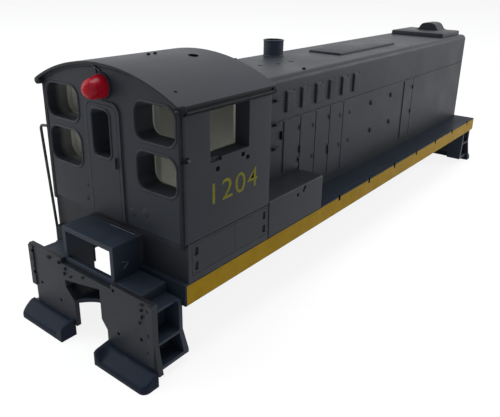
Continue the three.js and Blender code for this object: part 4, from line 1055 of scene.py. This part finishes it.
class SWITCHER_OT_cab_number(bpy.types.Operator):
    """Plain figures in dull yellow on both cab sides."""
    bl_idname = "switcher.cab_number"
    bl_label = "Cab number"

    def execute(self, context):
        for side, name in SIDES:
            self.make(side, "number_" + name)
        return {"FINISHED"}

    def make(self, side, name):
        curve = bpy.data.curves.new(name, "FONT")
        curve.body = CAB_NUMBER
        curve.extrude = 0.01
        curve.offset = 0.002
        curve.space_character = 1.12
        text = bpy.data.objects.new(name, curve)
        bpy.context.scene.collection.objects.link(text)
        bpy.context.view_layer.update()
        data = bpy.data.meshes.new_from_object(text)
        bpy.data.objects.remove(text)
        xs = [v.co.x for v in data.vertices]
        ys = [v.co.y for v in data.vertices]
        wide = sizes().number_width / (max(xs) - min(xs))
        tall = sizes().number_height / (max(ys) - min(ys))
        x, z = NUMBER_PLACE
        middle = at(x, side * HALF_DECK / MM, z)
        bm = bmesh.new()
        bm.from_mesh(data)
        for vert in bm.verts:
            u = (vert.co.x - (max(xs) + min(xs)) / 2) * wide
            v = (vert.co.y - (max(ys) + min(ys)) / 2) * tall
            lift = 0.00003 if vert.co.z > 0 else -0.00002
            vert.co = middle + Vector((-side * u, side * lift, v))
        bmesh.ops.remove_doubles(bm, verts=bm.verts, dist=1e-7)
        bpy.data.meshes.remove(data)
        piece_from(bm, name, "stripe", "number_ink")


class SWITCHER_OT_stage(bpy.types.Operator):
    """Pale floor, soft lamps and the camera."""
    bl_idname = "switcher.stage"
    bl_label = "Stage"

    def execute(self, context):
        scene = context.scene
        scene.view_settings.view_transform = "Standard"
        self.floor(scene)
        self.world(scene)
        self.lamps(scene)
        self.camera(scene)
        return {"FINISHED"}

    def seen(self, tree):
        """1 for rays from the camera and for those that gloss or glass throws on."""
        path = add(tree, "ShaderNodeLightPath").outputs
        return maths(tree, "MAXIMUM", path["Is Camera Ray"], path["Is Glossy Ray"],
                     path["Is Transmission Ray"])

    def floor(self, scene):
        reach, white_share = 4.0, 0.86
        data = bpy.data.meshes.new("studio_floor")
        data.from_pydata([(-reach, -reach, 0), (reach, -reach, 0), (reach, reach, 0),
                          (-reach, reach, 0)], [], [(0, 1, 2, 3)])
        floor = bpy.data.objects.new("studio_floor", data)
        scene.collection.objects.link(floor)
        material, tree = new_material("floor_white")
        matte = add(tree, "ShaderNodeBsdfDiffuse", {"Color": (0.9, 0.9, 0.9, 1)})
        white = add(tree, "ShaderNodeEmission", {"Color": (1, 1, 1, 1), "Strength": 1.0})
        both = add(tree, "ShaderNodeMixShader", {
            0: times(tree, self.seen(tree), white_share), 1: matte.outputs[0],
            2: white.outputs[0]})
        add(tree, "ShaderNodeOutputMaterial", {"Surface": both.outputs[0]})
        data.materials.append(material)

    def world(self, scene):
        world = bpy.data.worlds.new("studio_world")
        world.use_nodes = True
        tree = world.node_tree
        tree.nodes.clear()
        dim = add(tree, "ShaderNodeBackground", {"Color": (0.95, 0.98, 1, 1), "Strength": 0.5})
        white = add(tree, "ShaderNodeBackground", {"Color": (1, 1, 1, 1), "Strength": 1.0})
        both = add(tree, "ShaderNodeMixShader", {
            0: self.seen(tree), 1: dim.outputs[0], 2: white.outputs[0]})
        add(tree, "ShaderNodeOutputWorld", {"Surface": both.outputs[0]})
        scene.world = world

    def lamps(self, scene):
        """Round lamps turned to the shell: name, place, size, power and colour."""
        rows = (
            ("window_lamp", (-0.35, 0.45, 0.55), 0.5, 1.7, (0.93, 0.97, 1.0)),
            ("top_lamp", (0.05, 0.0, 0.8), 0.6, 5.4, (1.0, 1.0, 1.0)),
            ("front_lamp", (0.17, -0.135, 0.1), 0.12, 0.185, (0.97, 0.98, 1.0)),
            ("end_lamp", (-0.115, 0.085, 0.07), 0.06, 0.03, (0.9, 0.96, 1.0)),
        )
        target = Vector((0.0, 0.0, 0.02))
        for name, place, size, power, colour in rows:
            lamp = bpy.data.lights.new(name, "AREA")
            lamp.shape = "DISK"
            lamp.size = size
            lamp.energy = power
            lamp.color = colour
            lamp_object = bpy.data.objects.new(name, lamp)
            lamp_object.location = place
            lamp_object.rotation_euler = (target - Vector(place)).to_track_quat(
                "-Z", "Y").to_euler()
            scene.collection.objects.link(lamp_object)

    def camera(self, scene):
        camera = bpy.data.cameras.new("photo_camera")
        camera.lens = CAMERA_LENS
        camera.sensor_width = 36
        camera.shift_y = CAMERA_SHIFT
        camera.clip_start = 0.005
        camera_object = bpy.data.objects.new("photo_camera", camera)
        camera_object.location = CAMERA_PLACE
        camera_object.rotation_euler = [math.radians(turn) for turn in CAMERA_TURN]
        scene.collection.objects.link(camera_object)
        scene.camera = camera_object


class SWITCHER_PT_panel(bpy.types.Panel):
    """Lists the steps that dress the shell."""
    bl_idname = "SWITCHER_PT_panel"
    bl_label = "Switcher body shell"
    bl_space_type = "VIEW_3D"
    bl_region_type = "UI"
    bl_category = "Switcher"

    def draw(self, context):
        layout = self.layout
        for group in (sizes(), colours()):
            column = layout.column()
            for key in group.__annotations__:
                column.prop(group, key)
        for step in STEPS:
            layout.operator(step.bl_idname)


STEPS = (
    SWITCHER_OT_paint_frame, SWITCHER_OT_smooth_mouldings, SWITCHER_OT_window_rims,
    SWITCHER_OT_marker_light, SWITCHER_OT_handrails, SWITCHER_OT_exhaust_stack,
    SWITCHER_OT_footboards, SWITCHER_OT_louvres, SWITCHER_OT_cab_trim,
    SWITCHER_OT_cab_number, SWITCHER_OT_stage,
)
CLASSES = (SwitcherSizes, SwitcherColours) + STEPS + (SWITCHER_PT_panel,)


def register():
    for cls in CLASSES:
        bpy.utils.register_class(cls)
    bpy.types.Scene.switcher_sizes = bpy.props.PointerProperty(type=SwitcherSizes)
    bpy.types.Scene.switcher_colours = bpy.props.PointerProperty(type=SwitcherColours)


def unregister():
    del bpy.types.Scene.switcher_colours
    del bpy.types.Scene.switcher_sizes
    for cls in reversed(CLASSES):
        bpy.utils.unregister_class(cls)


def main():
    register()
    bpy.ops.switcher.paint_frame()
    bpy.ops.switcher.smooth_mouldings()
    bpy.ops.switcher.window_rims()
    bpy.ops.switcher.marker_light()
    bpy.ops.switcher.handrails()
    bpy.ops.switcher.exhaust_stack()
    bpy.ops.switcher.footboards()
    bpy.ops.switcher.louvres()
    bpy.ops.switcher.cab_trim()
    bpy.ops.switcher.cab_number()
    bpy.ops.switcher.stage()


if __name__ == "__main__":
    main()
